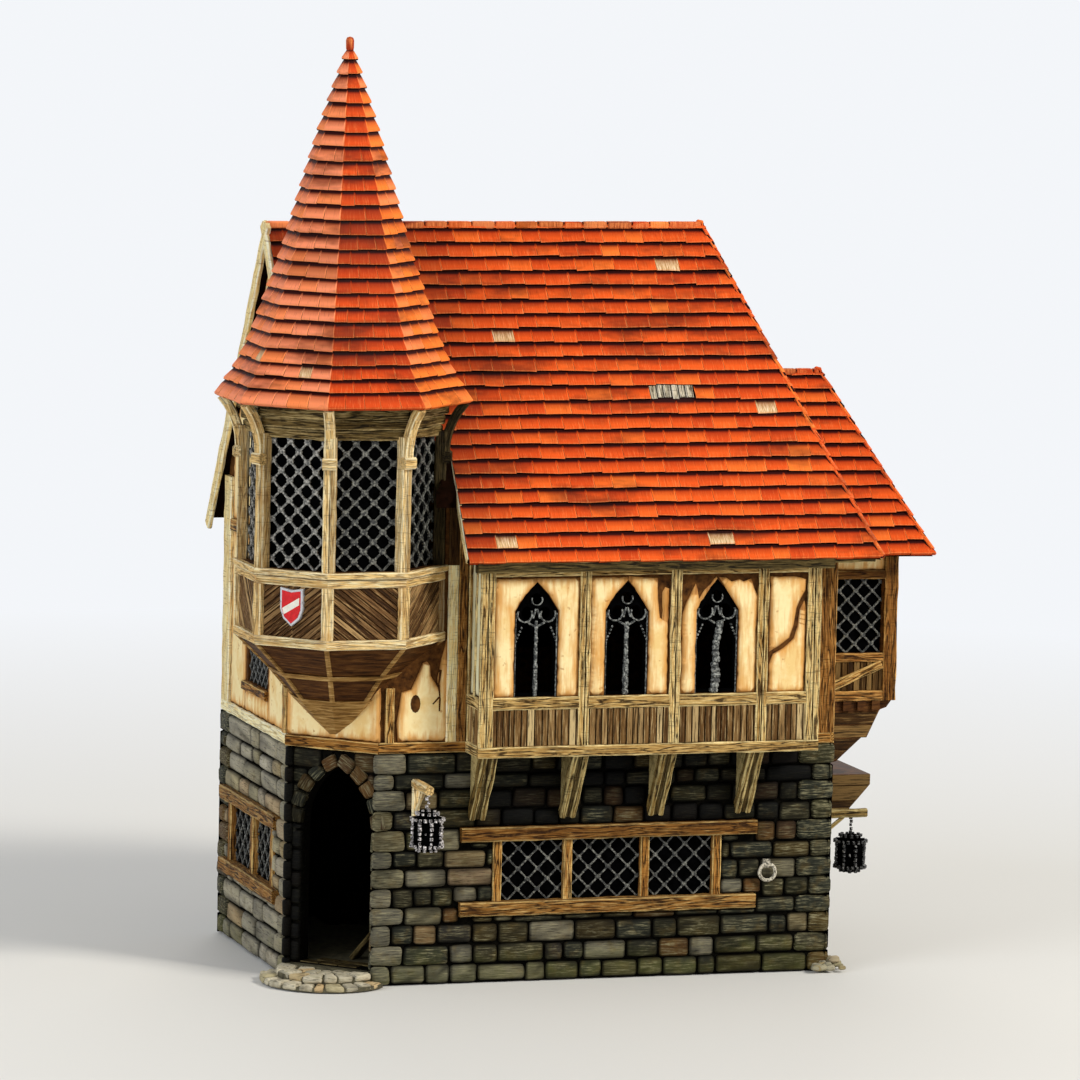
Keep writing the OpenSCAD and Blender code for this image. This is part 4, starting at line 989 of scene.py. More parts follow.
def build_doorway():
    """Quoins of the cut corner, the pointed arch with its voussoirs, and the steps."""
    s = Shape(31)
    for i, (z0, z1) in COURSES:
        z0, z1 = z0 + JOINT / 2, z1 - JOINT / 2
        run = door_end(i) - JOINT
        for side in (0, 1):
            def place(p, q, r, side=side):
                # p runs along the wall from the corner, q into it
                x, y = CUT + p, q
                return (x, y, r) if side == 0 else (y, x, r)
            out = s.rng.uniform(0.0, 0.25)
            rock(s, place, (-out - 0.2 + side * 0.7, -out, max(0.02, z0)), (run, 2.6, z1), r=1.5,
                 mark=(0.42, 0.6)[side], rough=0.35)
            if side:
                # the end that faces the door lies in the dark
                rock(s, place, (-out - 0.25, 0.15, max(0.02, z0)), (1.8, 2.6, z1), r=0.9, mark=0.0)
    s.build("door_quoins", STONE, "stone", smooth=True)

    s = Shape(32)
    w0 = -DOOR_RECESS
    radius = (DOOR_W ** 2 / 4 + DOOR_RISE ** 2) / DOOR_W
    end = math.degrees(math.asin(DOOR_RISE / radius))
    jamb = DOOR_W / 2

    def arch(angle, r, side):
        a = math.radians(angle)
        x = (jamb - radius + r * math.cos(a)) * side
        return DOOR_SHIFT + x, DOOR_SPRING + r * math.sin(a)

    for side in (-1, 1):
        for k in range(VOUSSOIRS):
            a0 = end * k / VOUSSOIRS + 0.8
            a1 = end * (k + 1) / VOUSSOIRS - (0.8 if k < VOUSSOIRS - 1 else -0.4)

            def place(p, q, r, side=side):
                u, z = arch(p, radius + r, side)
                return DOOR.at(u, w0 + q, z)
            thick = s.rng.uniform(3.4, 4.4)
            if arch(a1, radius + thick, side)[1] > STONE_H - 0.3:
                thick = max(1.5, STONE_H - 0.3 - arch(a1, radius, side)[1])
            # the arch's left side is painted darker: painted shade
            tone = 0.28 if side > 0 else 0.06 + 0.05 * k
            arc_rock(s, place, (a0, -1.2, 0.0), (a1, s.rng.uniform(0.9, 1.5), thick), radius,
                     mark=tone)
        z = FLOOR_T
        while z < DOOR_SPRING - 1:
            h = min(s.rng.uniform(4.6, 6.4), DOOR_SPRING - z)
            reach = DOOR_REVEAL - jamb - DOOR_SHIFT * side - 0.1
            u_in = DOOR_SHIFT + side * jamb
            lo, hi = sorted((u_in, u_in + side * reach))
            # the left jamb is painted near black: painted shade
            rock(s, lambda p, q, r: DOOR.at(p, w0 + q, r), (lo, -3.2, z + 0.2),
                 (hi, 0.8, z + h - 0.2), r=0.9, mark=0.35 if side > 0 else 0.0)
            z += h
    for i, (z0, z1) in COURSES:
        z0, z1 = z0 + JOINT / 2, z1 - JOINT / 2
        if z1 < DOOR_SPRING - 2:
            continue
        for side in (-1, 1):
            inner = 0.6
            for t in range(40):
                u = 0.6 + t * 0.3
                square = (radius + 2.0) ** 2 - (u - jamb + radius) ** 2
                if DOOR_SPRING + math.sqrt(max(0, square)) > z0 + 0.4:
                    inner = u
            outer = DOOR_REVEAL - DOOR_SHIFT * side - 0.1
            if outer - inner > 1.4:
                lo, hi = sorted((DOOR_SHIFT + side * inner, DOOR_SHIFT + side * outer))
                # stones left of the arch are painted darker: painted shade
                pillow(s, lambda p, q, w: DOOR.at(p, w + w0, q), lo, hi, z0, z1, 0.8,
                       mark=0.22 if side > 0 else 0.08)
    s.build("arch_stones", STONE, "stone", smooth=True)
    node("door_wall", MORTAR)
    build_steps()


def build_steps():
    """Two tiers of worn flags in a half circle before the door."""
    core = Shape(34)
    sill = DOOR_REVEAL - 0.2
    for radius, top in ((17.7, 1.2), (13.6, 3.2)):
        arc = [math.radians(180 + 180 * k / 24) for k in range(25)]
        block(core, DOOR.ground([(radius * math.cos(a), -radius * math.sin(a)) for a in arc]), 0.0,
              top)
    block(core, DOOR.ground(rect(-sill, sill, 0.2, -DOOR_RECESS)), 0.0, FLOOR_T - 0.3)
    core.build("step_core", FLAGS, "stone", "door_step")
    s = Shape(33)
    rng = s.rng
    # outer and inner radius, foot and top, number of stones and how light they are
    rings = [(18.3, 13.4, 0.0, 2.1, 12, 1.1), (14.4, 8.6, 1.8, 4.0, 8, 1.0),
             (8.5, 3.2, 2.4, 3.9, 5, 0.8)]
    for r1, r0, z0, z1, count, mark in rings:
        cuts = [180 + 180 * (k + (rng.uniform(-0.25, 0.25) if 0 < k < count else 0)) / count
                for k in range(count + 1)]

        def place(p, q, r):
            a = math.radians(p)
            return DOOR.at(q * math.cos(a), -q * math.sin(a), r)
        for a0, a1 in zip(cuts, cuts[1:]):
            gap = 12 / r1
            arc_rock(s, place, (a0 + gap, r0, z0 + 0.02),
                     (a1 - gap, r1 - rng.uniform(0, 0.7), z1 - rng.uniform(0, 0.5)), r1,
                     mark=mark + rng.uniform(-0.05, 0.15))
    s.build("step_stones", STONE, "stone", smooth=True)


def node(name, material):
    """Gives a CAD node its finish."""
    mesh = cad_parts[name].data
    mesh.materials.clear()
    mesh.materials.append(material)


# Windows of the stone storey: wall, ends of the beams, left edges of the posts
STONE_WINDOWS = ((FRONT, 44.7, 130.4, (54.2, 74.6, 96.9, 117.9)),
                 (LEFT, 27.8, 86.5, (33.2, 54.5, 78.6)),
                 (BACK, 85, 141, (95, 111.8, 128.5)))
POST_W = 2.5
LIGHT_DEPTH = 2.5
BACK_LIGHTS = (51, 85)
BACK_LIGHT_W = 12


def lattice(shape, face, u0, u1, z0, z1, w, pitch=5.0, width=0.62, thick=0.45, boss=0.75):
    """Diamond lattice of bars in a window, thicker where the bars cross."""
    start = u0 - (z1 - z0)
    count = int((u1 - u0 + 2 * (z1 - z0)) / pitch) + 2
    lines = [start + (k + 0.35) * pitch for k in range(count)]
    half = width * R2
    for lean, lift in ((1, 0.0), (-1, 0.12)):
        for u in lines:
            far = u + (z1 - z0) * lean
            poly = clip_box([(u - half, z0), (u + half, z0), (far + half, z1), (far - half, z1)],
                            u0, u1, z0, z1)
            if poly:
                slab(shape, face, poly, w, w + thick + lift, 45, bevel=0.12)
    for a in lines:
        for b in lines:
            u, z = (a + b) / 2, z0 + (b - a) / 2
            if z0 < z < z1 and u0 < u < u1:
                poly = clip_box(oval(u, z, boss * 1.25, boss, 8), u0, u1, z0, z1)
                if poly:
                    slab(shape, face, poly, w, w + thick + 0.2, bevel=0.15)


def build_windows():
    """Diamond lattices before the dark lights."""
    for name in ("stone_window_panes", "upper_window_panes", "turret_panes"):
        node(name, GLASS)
    s = Shape(41)
    for face, _, _, posts in STONE_WINDOWS:
        for a, b in zip(posts, posts[1:]):
            lattice(s, face, a + POST_W, b, WIN_SILL, WIN_HEAD, -LIGHT_DEPTH, pitch=5.7, width=0.44,
                    boss=0.6)
    lattice(s, LEFT, 45, 66, 75.5, 85.5, -LIGHT_DEPTH, pitch=4.2, width=0.45, boss=0.5)
    for x in BACK_LIGHTS:
        lattice(s, BACK, x, x + BACK_LIGHT_W, BAY_SILL, BAY_SILL + 22, -LIGHT_DEPTH, pitch=4.8,
                width=0.5, boss=0.6)
    end = right_at(OX1 - PROUD - 1)
    for face, a, b in ((front_at(OY0 + PROUD + 1), WX + 5.5, OX1 - 4.5),
                       (back_at(OY1 - PROUD - 1), WX + 5.5, OX1 - 4.5),
                       (end, OY0 + 6, RIDGE_Y - 2), (end, RIDGE_Y + 2, OY1 - 6)):
        lattice(s, face, a, b, O_SILL, O_HEAD, 0.0, pitch=5.0, width=0.5, boss=0.6)
    s.build("lattices", LEAD, "lattice")
    # lattices on the right facets, in shade, take the darker lead: painted shade
    s, dim = Shape(43), Shape(44)
    radius = TR - 3.6
    for k in (3, 4, 5, 6, 7):
        half = radius * SIDE - 0.6
        lattice(s if k < 6 else dim, facet(k, radius), -half, half, T_SILL, T_HEAD, 0.0, pitch=5.3,
                width=0.55, boss=0.85)
    s.build("turret_lattices", LEAD_LIT, "lattice")
    dim.build("turret_lattices_shaded", LEAD, "lattice")


def build_stone_timbers():
    """Beams and posts of the windows in the stone walls."""
    s = Shape(42)
    for face, u0, u1, _ in STONE_WINDOWS:
        for z, mark in ((WIN_SILL - BEAM_H, 0.32), (WIN_HEAD, 0.44)):
            box(s, face, u0, u1, -LIGHT_DEPTH, 1.0, z, z + BEAM_H, chamfer=0.35, mark=mark)
    for face, _, _, posts in STONE_WINDOWS:
        for u in posts:
            box(s, face, u, u + POST_W, -LIGHT_DEPTH, -0.4, WIN_SILL, WIN_HEAD)
    s.build("window_beams", TIMBER, "timber", "stone_window_timbers")


def roof_z(x, y, under=0.0):
    """Height of the roof's face over a point, less a vertical depth."""
    front = EAVE + (y - FRONT_EAVE) * FRONT_S
    back = EAVE + (BACK_EAVE - y) * BACK_S
    hip = EAVE + (RIGHT_EAVE - x) * HIP_S
    return min(front, back, hip) - under


def flush(shape, face, u0, u1, z0, z1, **opts):
    """Timber that lies in the inset face of an upper wall."""
    box(shape, face, u0, u1, -INSET, -0.3, z0, z1, **opts)


def build_upper_timbers():
    """Timbers flush with the plaster of the upper walls."""
    s = Shape(51)
    z0 = STONE_H
    # beams at the foot of the walls
    flush(s, FRONT, CUT + 0.8, BAY0, z0, z0 + 3)
    flush(s, FRONT, BAY1, WX + PROUD, z0, z0 + 3)
    half = CUT * R2 + 0.4
    flush(s, DOOR, -half, half, z0, z0 + 3)
    flush(s, BACK, INSET, WX, z0, z0 + 3)
    flush(s, RIGHT, 0.3, WY + PROUD, z0, z0 + 3)
    s.build("foot_beams", TIMBER, "timber", "sole_beams")

    s = Shape(52)
    z0 = STONE_H + 3
    flush(s, LEFT, CUT + 2.6, CUT + 5.6, z0, TZ)
    for z in (116, 152):
        flush(s, LEFT, 40, min(83.7, 94 if z < 120 else 72), z, z + 3.4)
    flush(s, LEFT, RIDGE_Y - 2, RIDGE_Y + 2, 119.4, 199)
    box(s, LEFT, 43, 68, -INSET, 0.0, 72.9, 75.5)
    flush(s, LEFT, 43, 68, 85.5, 87.5)
    flush(s, FRONT, CUT + 2.8, CUT + 5.2, z0, 82)
    back0, back1 = INSET + 0.3, WX - 0.3
    for i in range(5):
        u = back0 + i * (back1 - back0 - 4) / 4
        flush(s, BACK, u, u + 4, z0, 134)
    for z in (BAY_RAIL, 112.6):
        box(s, BACK, back0, back1, -INSET, -0.35, z, z + 3.4)
    s.build("wall_frames", TIMBER, "timber", "flush_frames")
    s = Shape(53)
    flush(s, FRONT, 39.9, 42.8, z0, 115.5)
    flush(s, LEFT, CUT + 0.8, WY + PROUD, z0 - 3, z0)
    flush(s, LEFT, 83.7, 90.7, z0, 131)
    s.build("pale_posts", PALE_WOOD, "timber")
    s = Shape(54)
    # the post's upper part is painted near black: painted shade
    flush(s, FRONT, 39.9, 42.8, 115.5, 139, mark=1.0)
    box(s, FRONT, 42.9, BAY0, -INSET, -0.5, z0, 139)
    flush(s, FRONT, BAY1, BAY1 + 3.6, z0, 139)
    flush(s, FRONT, WX - 4, WX + PROUD, z0, 137)
    flush(s, RIGHT, INSET, INSET + 4, z0, 137)
    flush(s, RIGHT, WY - 4, WY, z0, 137)
    s.build("dark_posts", RUSSET, "timber")


# Left edges of the bay's studs and middles of its lights, from its left corner
STUDS = [share * BAY_L for share in (0.288, 0.554, 0.812)]
LIGHTS = [share * BAY_L for share in (0.164, 0.428, 0.693)]
LIGHT_H = 31.5
# How far below the timbers' face the bay's plaster lies
PLASTER_IN = 0.75


def build_bay():
    """Posts, rails and boards of the bay, and the brackets under it."""
    s = Shape(61)
    lefts = [0] + STUDS + [BAY_L - 4]
    widths = [4, 3.1, 3.1, 3.1, 4]
    for u, w in zip(lefts, widths):
        # each post is split by a dark groove
        mid = u + w * s.rng.uniform(0.48, 0.58)
        box(s, BAY, u, mid - 0.2, -PROUD, 0, STONE_H + 3, 115.4, wear=0.14)
        box(s, BAY, mid + 0.2, u + w, -PROUD, -0.05, STONE_H + 3, 115.4, wear=0.14)
    box(s, BAY, -0.2, BAY_L, -PROUD, 0.2, STONE_H, STONE_H + 3)
    for a, aw, b in zip(lefts, widths, lefts[1:]):
        box(s, BAY, a + aw - 0.2, b + 0.2, -PROUD, -0.1, BAY_RAIL, BAY_SILL)
        box(s, BAY, a + aw - 0.2, b + 0.2, -PROUD, -0.3, 113.6, 115.8)
    box(s, BAY, 0, BAY_L, -PROUD, -0.05, 115.4, 117.6, mark=0.35)
    s.build("bay_timbers", BAY_WOOD, "timber", "bay_front_frame")

    s = Shape(62)
    for face in BAY_ENDS:
        y0, y1 = PROUD - JETTY, INSET - PROUD
        for z in (STONE_H, BAY_RAIL):
            box(s, face, y0, y1, -PROUD, 0, z, z + 3.2)
        box(s, face, y0 - 1.0, y0 + 0.5, -PROUD, -0.05, STONE_H, 117)
        brace(s, face, ((y0 + y1) / 2 + 0.6, STONE_H), ((y0 + y1) / 2 - 0.6, 120), 1.0, -PROUD,
              -0.3)
        box(s, face, y1 - 0.9, y1, -PROUD, 0, STONE_H, 131)
    s.build("bay_side_timbers", BAY_WOOD, "timber", "bay_side_frames")

    s = Shape(63)
    for a, aw, b in zip(lefts, widths, lefts[1:]):
        slats(s, BAY, a + aw, b, STONE_H + 3, BAY_RAIL, -PROUD, -0.45, 1.75, 90, gap=0.42,
              mark=0.14)
    for face in BAY_ENDS:
        slats(s, face, PROUD - JETTY + 0.5, INSET - PROUD - 0.9, STONE_H + 3.2, BAY_RAIL, -PROUD,
              -0.5, 1.6, 90, gap=0.4)
    s.build("bay_boards", APRON, "timber")

    s = Shape(64)
    foot = STONE_H - 18.8
    for share in (0.02, 0.285, 0.545, 0.805):
        x = BAY0 + share * BAY_L - 0.7
        slab(s, left_at(x), [(-0.1, foot + 0.6), (-0.1, STONE_H), (-9.8, STONE_H),
                             (-1.6, foot + 4)], -4.2, -0.3, 120, relief=0.9)
        a = Vector((x + 2.3, 0.38, foot + 0.8))
        b = Vector((x + 2.3, -10.2, STONE_H + 0.8))
        d = (b - a).normalized()
        across = Vector((0, -d.z, d.y))
        for du, wide, deep in ((-1.45, 1.5, 3.2), (0.0, 1.5, 2.7), (1.45, 1.5, 3.2)):
            shift = Vector((du, 0, 0)) - across * (3.2 - deep) / 2
            beam(s, a + shift, b + shift, (1, 0, 0), across, wide, deep, wear=0.2, chamfer=0.35,
                 mark=0.0 if du else 0.7)
    s.build("brackets", BRACKET, "timber", "jetty_brackets")
    build_tracery()


def build_tracery():
    """Heads of the bay's lights: three rings over a beaded mullion, on the dark pierced plates."""
    node("bay_tracery", GLASS)
    s = Shape(65)

    def bar(p, q, width, w=-1.5):
        a, b = Vector(BAY.at(p[0], w, p[1])), Vector(BAY.at(q[0], w, q[1]))
        d = (b - a).normalized()
        beam(s, a, b, d.cross(Vector((0, -1, 0))), (0, -1, 0), width, 0.7, wear=0.04, chamfer=0.2)

    def ring(cu, cz, radius, width):
        for k in range(14):
            t0, t1 = [math.pi * (0.86 + (k + n) * 1.28 / 14) for n in (0, 1.1)]
            bar((cu + radius * math.cos(t0), cz + radius * math.sin(t0)),
                (cu + radius * math.cos(t1), cz + radius * math.sin(t1)), width)
    for i, cu in enumerate(LIGHTS):
        top = BAY_SILL + LIGHT_H
        ring(cu + 0.1, top - 4.9, 1.5, 0.3)
        for lean in (-1, 1):
            ring(cu + 3.3 * lean, top - 8.9, 2.1, 0.42)
            bar((cu + lean * 0.4, top - 12.2), (cu + lean * 2.3, top - 11.2), 0.5)
            bar((cu + lean * 1.0, top - 10.0), (cu + lean * 0.2, top - 7.4), 0.5)
            for k in range(5):
                f = k / 4
                bar((cu + lean * (4.0 + 1.6 * f), top - 12.4 - 3.6 * f),
                    (cu + lean * (4.3 + 1.6 * f), top - 12.8 - 3.6 * f), 0.5)
            bar((cu + lean * 5.85, BAY_SILL), (cu + lean * 5.85, top - 8.6), 0.2)
        z, width = BAY_SILL, (0.45, 0.6, 0.9)[i]
        while z < top - 12.2:
            step = s.rng.uniform(1.2, 1.8)
            sway = 0.0
            if i == 2:
                sway = 0.55 * math.sin((z - BAY_SILL) * 0.42) + (0.4 if z > BAY_SILL + 8 else -0.4)
            fat = width * s.rng.uniform(0.9, 1.1) * (1.25 if z < BAY_SILL + 9 else 1.0)
            at = BAY.at(cu + sway, -1.5, z)
            rock(s, lambda p, q, r: (at[0] + p, at[1] + q, r), (-fat, -fat, z),
                 (fat, fat, z + step + 0.3), r=fat * 0.7, mark=0.0)
            z += step
    s.build("tracery_bars", TRACERY, "tracery")


def plaster_panel(shape, face, outline, w0, w1):
    """Plaster field with a chipped rim, whose grain holds each corner's distance from its edge."""
    rng = shape.rng
    if turning(outline) < 0:
        outline = outline[::-1]
    chipped = []
    for (ua, za), (ub, zb) in pairs(outline):
        length = math.hypot(ub - ua, zb - za)
        count = max(1, round(length / 1.3))
        chipped.append((ua, za))
        for k in range(1, count):
            chip = rng.uniform(0.0, 0.3) if rng.random() < 0.5 and 1 < k < count - 1 else 0.0
            chipped.append((ua + (ub - ua) * k / count - (zb - za) / length * chip,
                            za + (zb - za) * k / count + (ub - ua) / length * chip))
    bm = bmesh.new()
    vs = [bm.verts.new((p[0], p[1], 0)) for p in chipped]
    edges = [bm.edges.new((vs[i], vs[(i + 1) % len(vs)])) for i in range(len(vs))]
    bmesh.ops.triangle_fill(bm, edges=edges, use_beauty=True)
    for _ in range(3):
        long = [e for e in bm.edges if e.calc_length() > 2.2 and not e.is_boundary]
        bmesh.ops.subdivide_edges(bm, edges=long, cuts=1)
        bmesh.ops.triangulate(bm, faces=bm.faces)
    bm.verts.index_update()

    def edge_distance(p):
        best = 99
        for a, b in pairs(outline):
            a, b = Vector(a), Vector(b)
            ab = b - a
            t = max(0, min(1, (p - a).dot(ab) / max(1e-9, ab.length_squared)))
            best = min(best, (p - a - ab * t).length)
        return best
    rim = {v.index for e in bm.edges if e.is_boundary for v in e.verts}
    points, grain = [], []
    for v in bm.verts:
        p = v.co.xy
        d = edge_distance(p)
        puff = 0.6 if v.index in rim else min(1, 0.7 + d / 1.2)
        points.append(face.at(p.x, w0 + (w1 - w0) * puff, p.y))
        grain.append((0.0 if v.index in rim else d, 0, 0))
    faces = [[v.index for v in f.verts] for f in bm.faces]
    # the rim goes down to the wall
    foot = {}
    bm.verts.ensure_lookup_table()
    for i in sorted(rim):
        foot[i] = len(points)
        points.append(face.at(bm.verts[i].co.x, w0 - 0.3, bm.verts[i].co.y))
        grain.append((0.0, 0, 0))
    for f in bm.faces:
        for loop in f.loops:
            if loop.edge.is_boundary:
                a, b = loop.vert.index, loop.link_loop_next.vert.index
                faces.append([b, a, foot[a], foot[b]])
    bm.free()
    shape.add(points, grain, faces, [(0.5, 0.5, 0, 0.5)] * len(faces))


def lancet(cx, z0, w, h, rise):
    """Outline of a pointed light, from its foot's left corner."""
    return [(cx - w / 2, z0), (cx + w / 2, z0), (cx + w / 2, z0 + h - rise),
            (cx + w * 0.28, z0 + h - rise * 0.46), (cx, z0 + h),
            (cx - w * 0.28, z0 + h - rise * 0.46), (cx - w / 2, z0 + h - rise)]


def ribbon(shape, face, line, width, w0, w1):
    """Narrow strip along a broken line on a face, such as a crack."""
    for (u0, z0), (u1, z1) in zip(line, line[1:]):
        d = math.hypot(u1 - u0, z1 - z0)
        nu, nz = -(z1 - z0) / d * width / 2, (u1 - u0) / d * width / 2
        slab(shape, face, [(u0 - nu, z0 - nz), (u1 - nu * 0.7, z1 - nz * 0.7),
                           (u1 + nu * 0.7, z1 + nz * 0.7), (u0 + nu, z0 + nz)], w0, w1)


def build_plaster():
    """Plaster fields of every wall, with their cracks."""
    for name in ("left_upper_wall", "right_upper_wall", "back_upper_wall", "corner_upper_wall",
                 "bay_front_wall", "bay_side_walls", "oriel_walls"):
        node(name, BRICK)
    s = Shape(71)
    front = front_at(-JETTY)
    sill, head = BAY_SILL + 0.1, 113.0
    first = [BAY0 + u for u in LIGHTS]
    for i, a, b in ((0, BAY0 + 4.0, BAY0 + STUDS[0]), (1, BAY0 + STUDS[0] + 3.1, None)):
        hole = lancet(first[i], sill, 12.5, LIGHT_H, 8)
        left = [(a, sill), hole[0], hole[6], hole[5], hole[4], (first[i], head), (a, head)]
        plaster_panel(s, front, left, -PROUD, -PLASTER_IN)
        if b:
            right = [hole[1], (b, sill), (b, head), (first[i], head), hole[4], hole[3], hole[2]]
            plaster_panel(s, front, right, -PROUD, -PLASTER_IN)
    # fields broken by cracks and lost plaster
    for outline in (
            [(93.7, 80.6), (99.4, 80.6), (99.3, 109.6), (98.2, 110.0), (97.4, 108.6),
             (97.5, 101.2), (96.8, 101.6), (96.1, 107.0), (96.0, 112.6), (87.7, 113.2),
             (87.6, 112.2), (90.9, 107.8), (93.7, 103.5)],
            [(103.1, 80.6), (107.4, 80.6), (107.4, 103.6), (109.9, 107.8), (113.2, 112.2),
             (112.9, 112.7), (109.4, 108.8), (108.0, 106.6), (107.5, 109.2), (107.0, 110.8),
             (105.6, 108.0), (104.4, 105.8), (103.2, 102.2)],
            [(119.7, 80.6), (124.9, 80.6), (125.1, 107.0), (124.0, 109.2), (123.0, 112.0),
             (120.9, 111.2), (119.6, 111.9), (117.4, 111.2), (115.7, 112.4), (113.6, 112.6),
             (116.9, 107.8), (119.7, 103.6)],
            [(128.6, 91.6), (131.5, 93.2), (134.5, 95.4), (135.6, 98.6), (136.4, 103.6),
             (137.6, 106.4), (138.9, 108.6), (139.1, 111.6), (136.0, 112.4), (128.6, 112.6)],
            [(128.7, 80.5), (139.1, 80.5), (139.3, 102.9), (138.7, 105.6), (137.4, 103.2),
             (136.9, 98.4), (135.9, 95.2), (133.0, 92.6), (129.9, 91.0), (128.7, 88.0)]):
        plaster_panel(s, front, outline, -PROUD, -PLASTER_IN)
    s.build("bay_plaster", PLASTER, "plaster", smooth=True)
    s = Shape(74)
    y0, y1 = PROUD - JETTY, INSET - PROUD
    for face in BAY_ENDS:
        plaster_panel(s, face, [(y0 + 0.4, sill), (y1 - 0.8, sill), (y1 - 0.8, roof_z(90, y1, 6)),
                                (y0 + 0.4, roof_z(90, y0, 6))], -PROUD, -0.8)
    s.build("bay_side_plaster", PLASTER_SHADE, "plaster", smooth=True)

    s = Shape(72)
    low, wall = STONE_H + 3.2, -INSET
    out = wall + 0.4

    def field(face, outline):
        plaster_panel(s, face, outline, wall, out)
    half = CUT * R2 + 0.3
    field(DOOR, rect(-half, half, low, TZ))
    plaster_panel(s, FRONT, [(26.5, low), (40.3, low), (40.3, 96.0), (39.7, 94.5), (39.2, 92.2),
                             (38.5, 89.9), (38.0, 86.8), (37.5, 84.6), (37.6, 81.8), (36.9, 83.0),
                             (35.4, 85.2), (35.2, 88.0), (34.3, 89.1), (33.2, 88.7), (32.3, 86.4),
                             (30.1, 81.5), (27.3, 80.7), (26.1, 72.4)], wall, out + 0.3)
    field(FRONT, rect(BAY1 + 3.6, WX - 4, 112, 124))
    # left wall round its little window, and the gable
    for u0, u1, z0, z1 in ((CUT + 5.6, 43, low, 116), (43, 68, low, 72.9), (43, 68, 87.5, 116),
                           (68, 83.7, low, 116), (40, 43.5, 119.4, 152)):
        field(LEFT, rect(u0, u1, z0, z1))
    field(LEFT, [(47.5, 119.4), (83.7, 119.4), (83.7, 143), (78, 152), (47.5, 152)])
    field(LEFT, [(47.5, 155.4), (74, 155.4), (47.5, 197)])
    field(LEFT, [(40, 155.4), (43.5, 155.4), (43.5, 197), (40, 192)])
    back0, back1 = INSET + 0.3, WX - 0.3
    for i in range(4):
        a = back0 + i * (back1 - back0 - 4) / 4 + 4
        b = back0 + (i + 1) * (back1 - back0 - 4) / 4
        field(BACK, rect(a, b, low, BAY_RAIL))
        field(BACK, rect(a, b, 116, 133))
        if i not in (1, 2):
            field(BACK, rect(a, b, BAY_SILL, 112.6))
        else:
            x = BACK_LIGHTS[i - 1]
            field(BACK, rect(a, x, BAY_SILL, 112.6))
            field(BACK, rect(x + 12, b, BAY_SILL, 112.6))
            field(BACK, rect(x, x + 12, 102.5, 112.6))
    for a, b in ((INSET + 4, OY0), (OY1, WY - 4)):
        field(RIGHT, rect(a, b, low, 133))
    # oriel: a strip over its windows on each side
    for face in ORIEL_SIDES:
        plaster_panel(s, face, rect(WX + 3, OX1 - 4, O_HEAD + 2.5, OZ1), -PROUD, -0.8)
    for a, b in ORIEL_LIGHTS:
        plaster_panel(s, ORIEL_END, rect(a, b, O_HEAD + 2.5, OZ1), -PROUD, -0.8)
    s.build("wall_plaster", PLASTER, "plaster", smooth=True)

    s = Shape(73)
    ribbon(s, FRONT, [(38.2, 86.8), (37.7, 82.7), (38.1, 79.0), (38.0, 75.4)], 0.55, wall,
           out + 0.4)
    ribbon(s, FRONT, [(37.9, 79.3), (36.1, 77.4)], 0.5, wall, out + 0.4)
    slab(s, FRONT, oval(31.2, 77.6, 1.4, 2.5, 12), wall, out + 0.36)
    s.build("cracks", BRICK, "plaster")


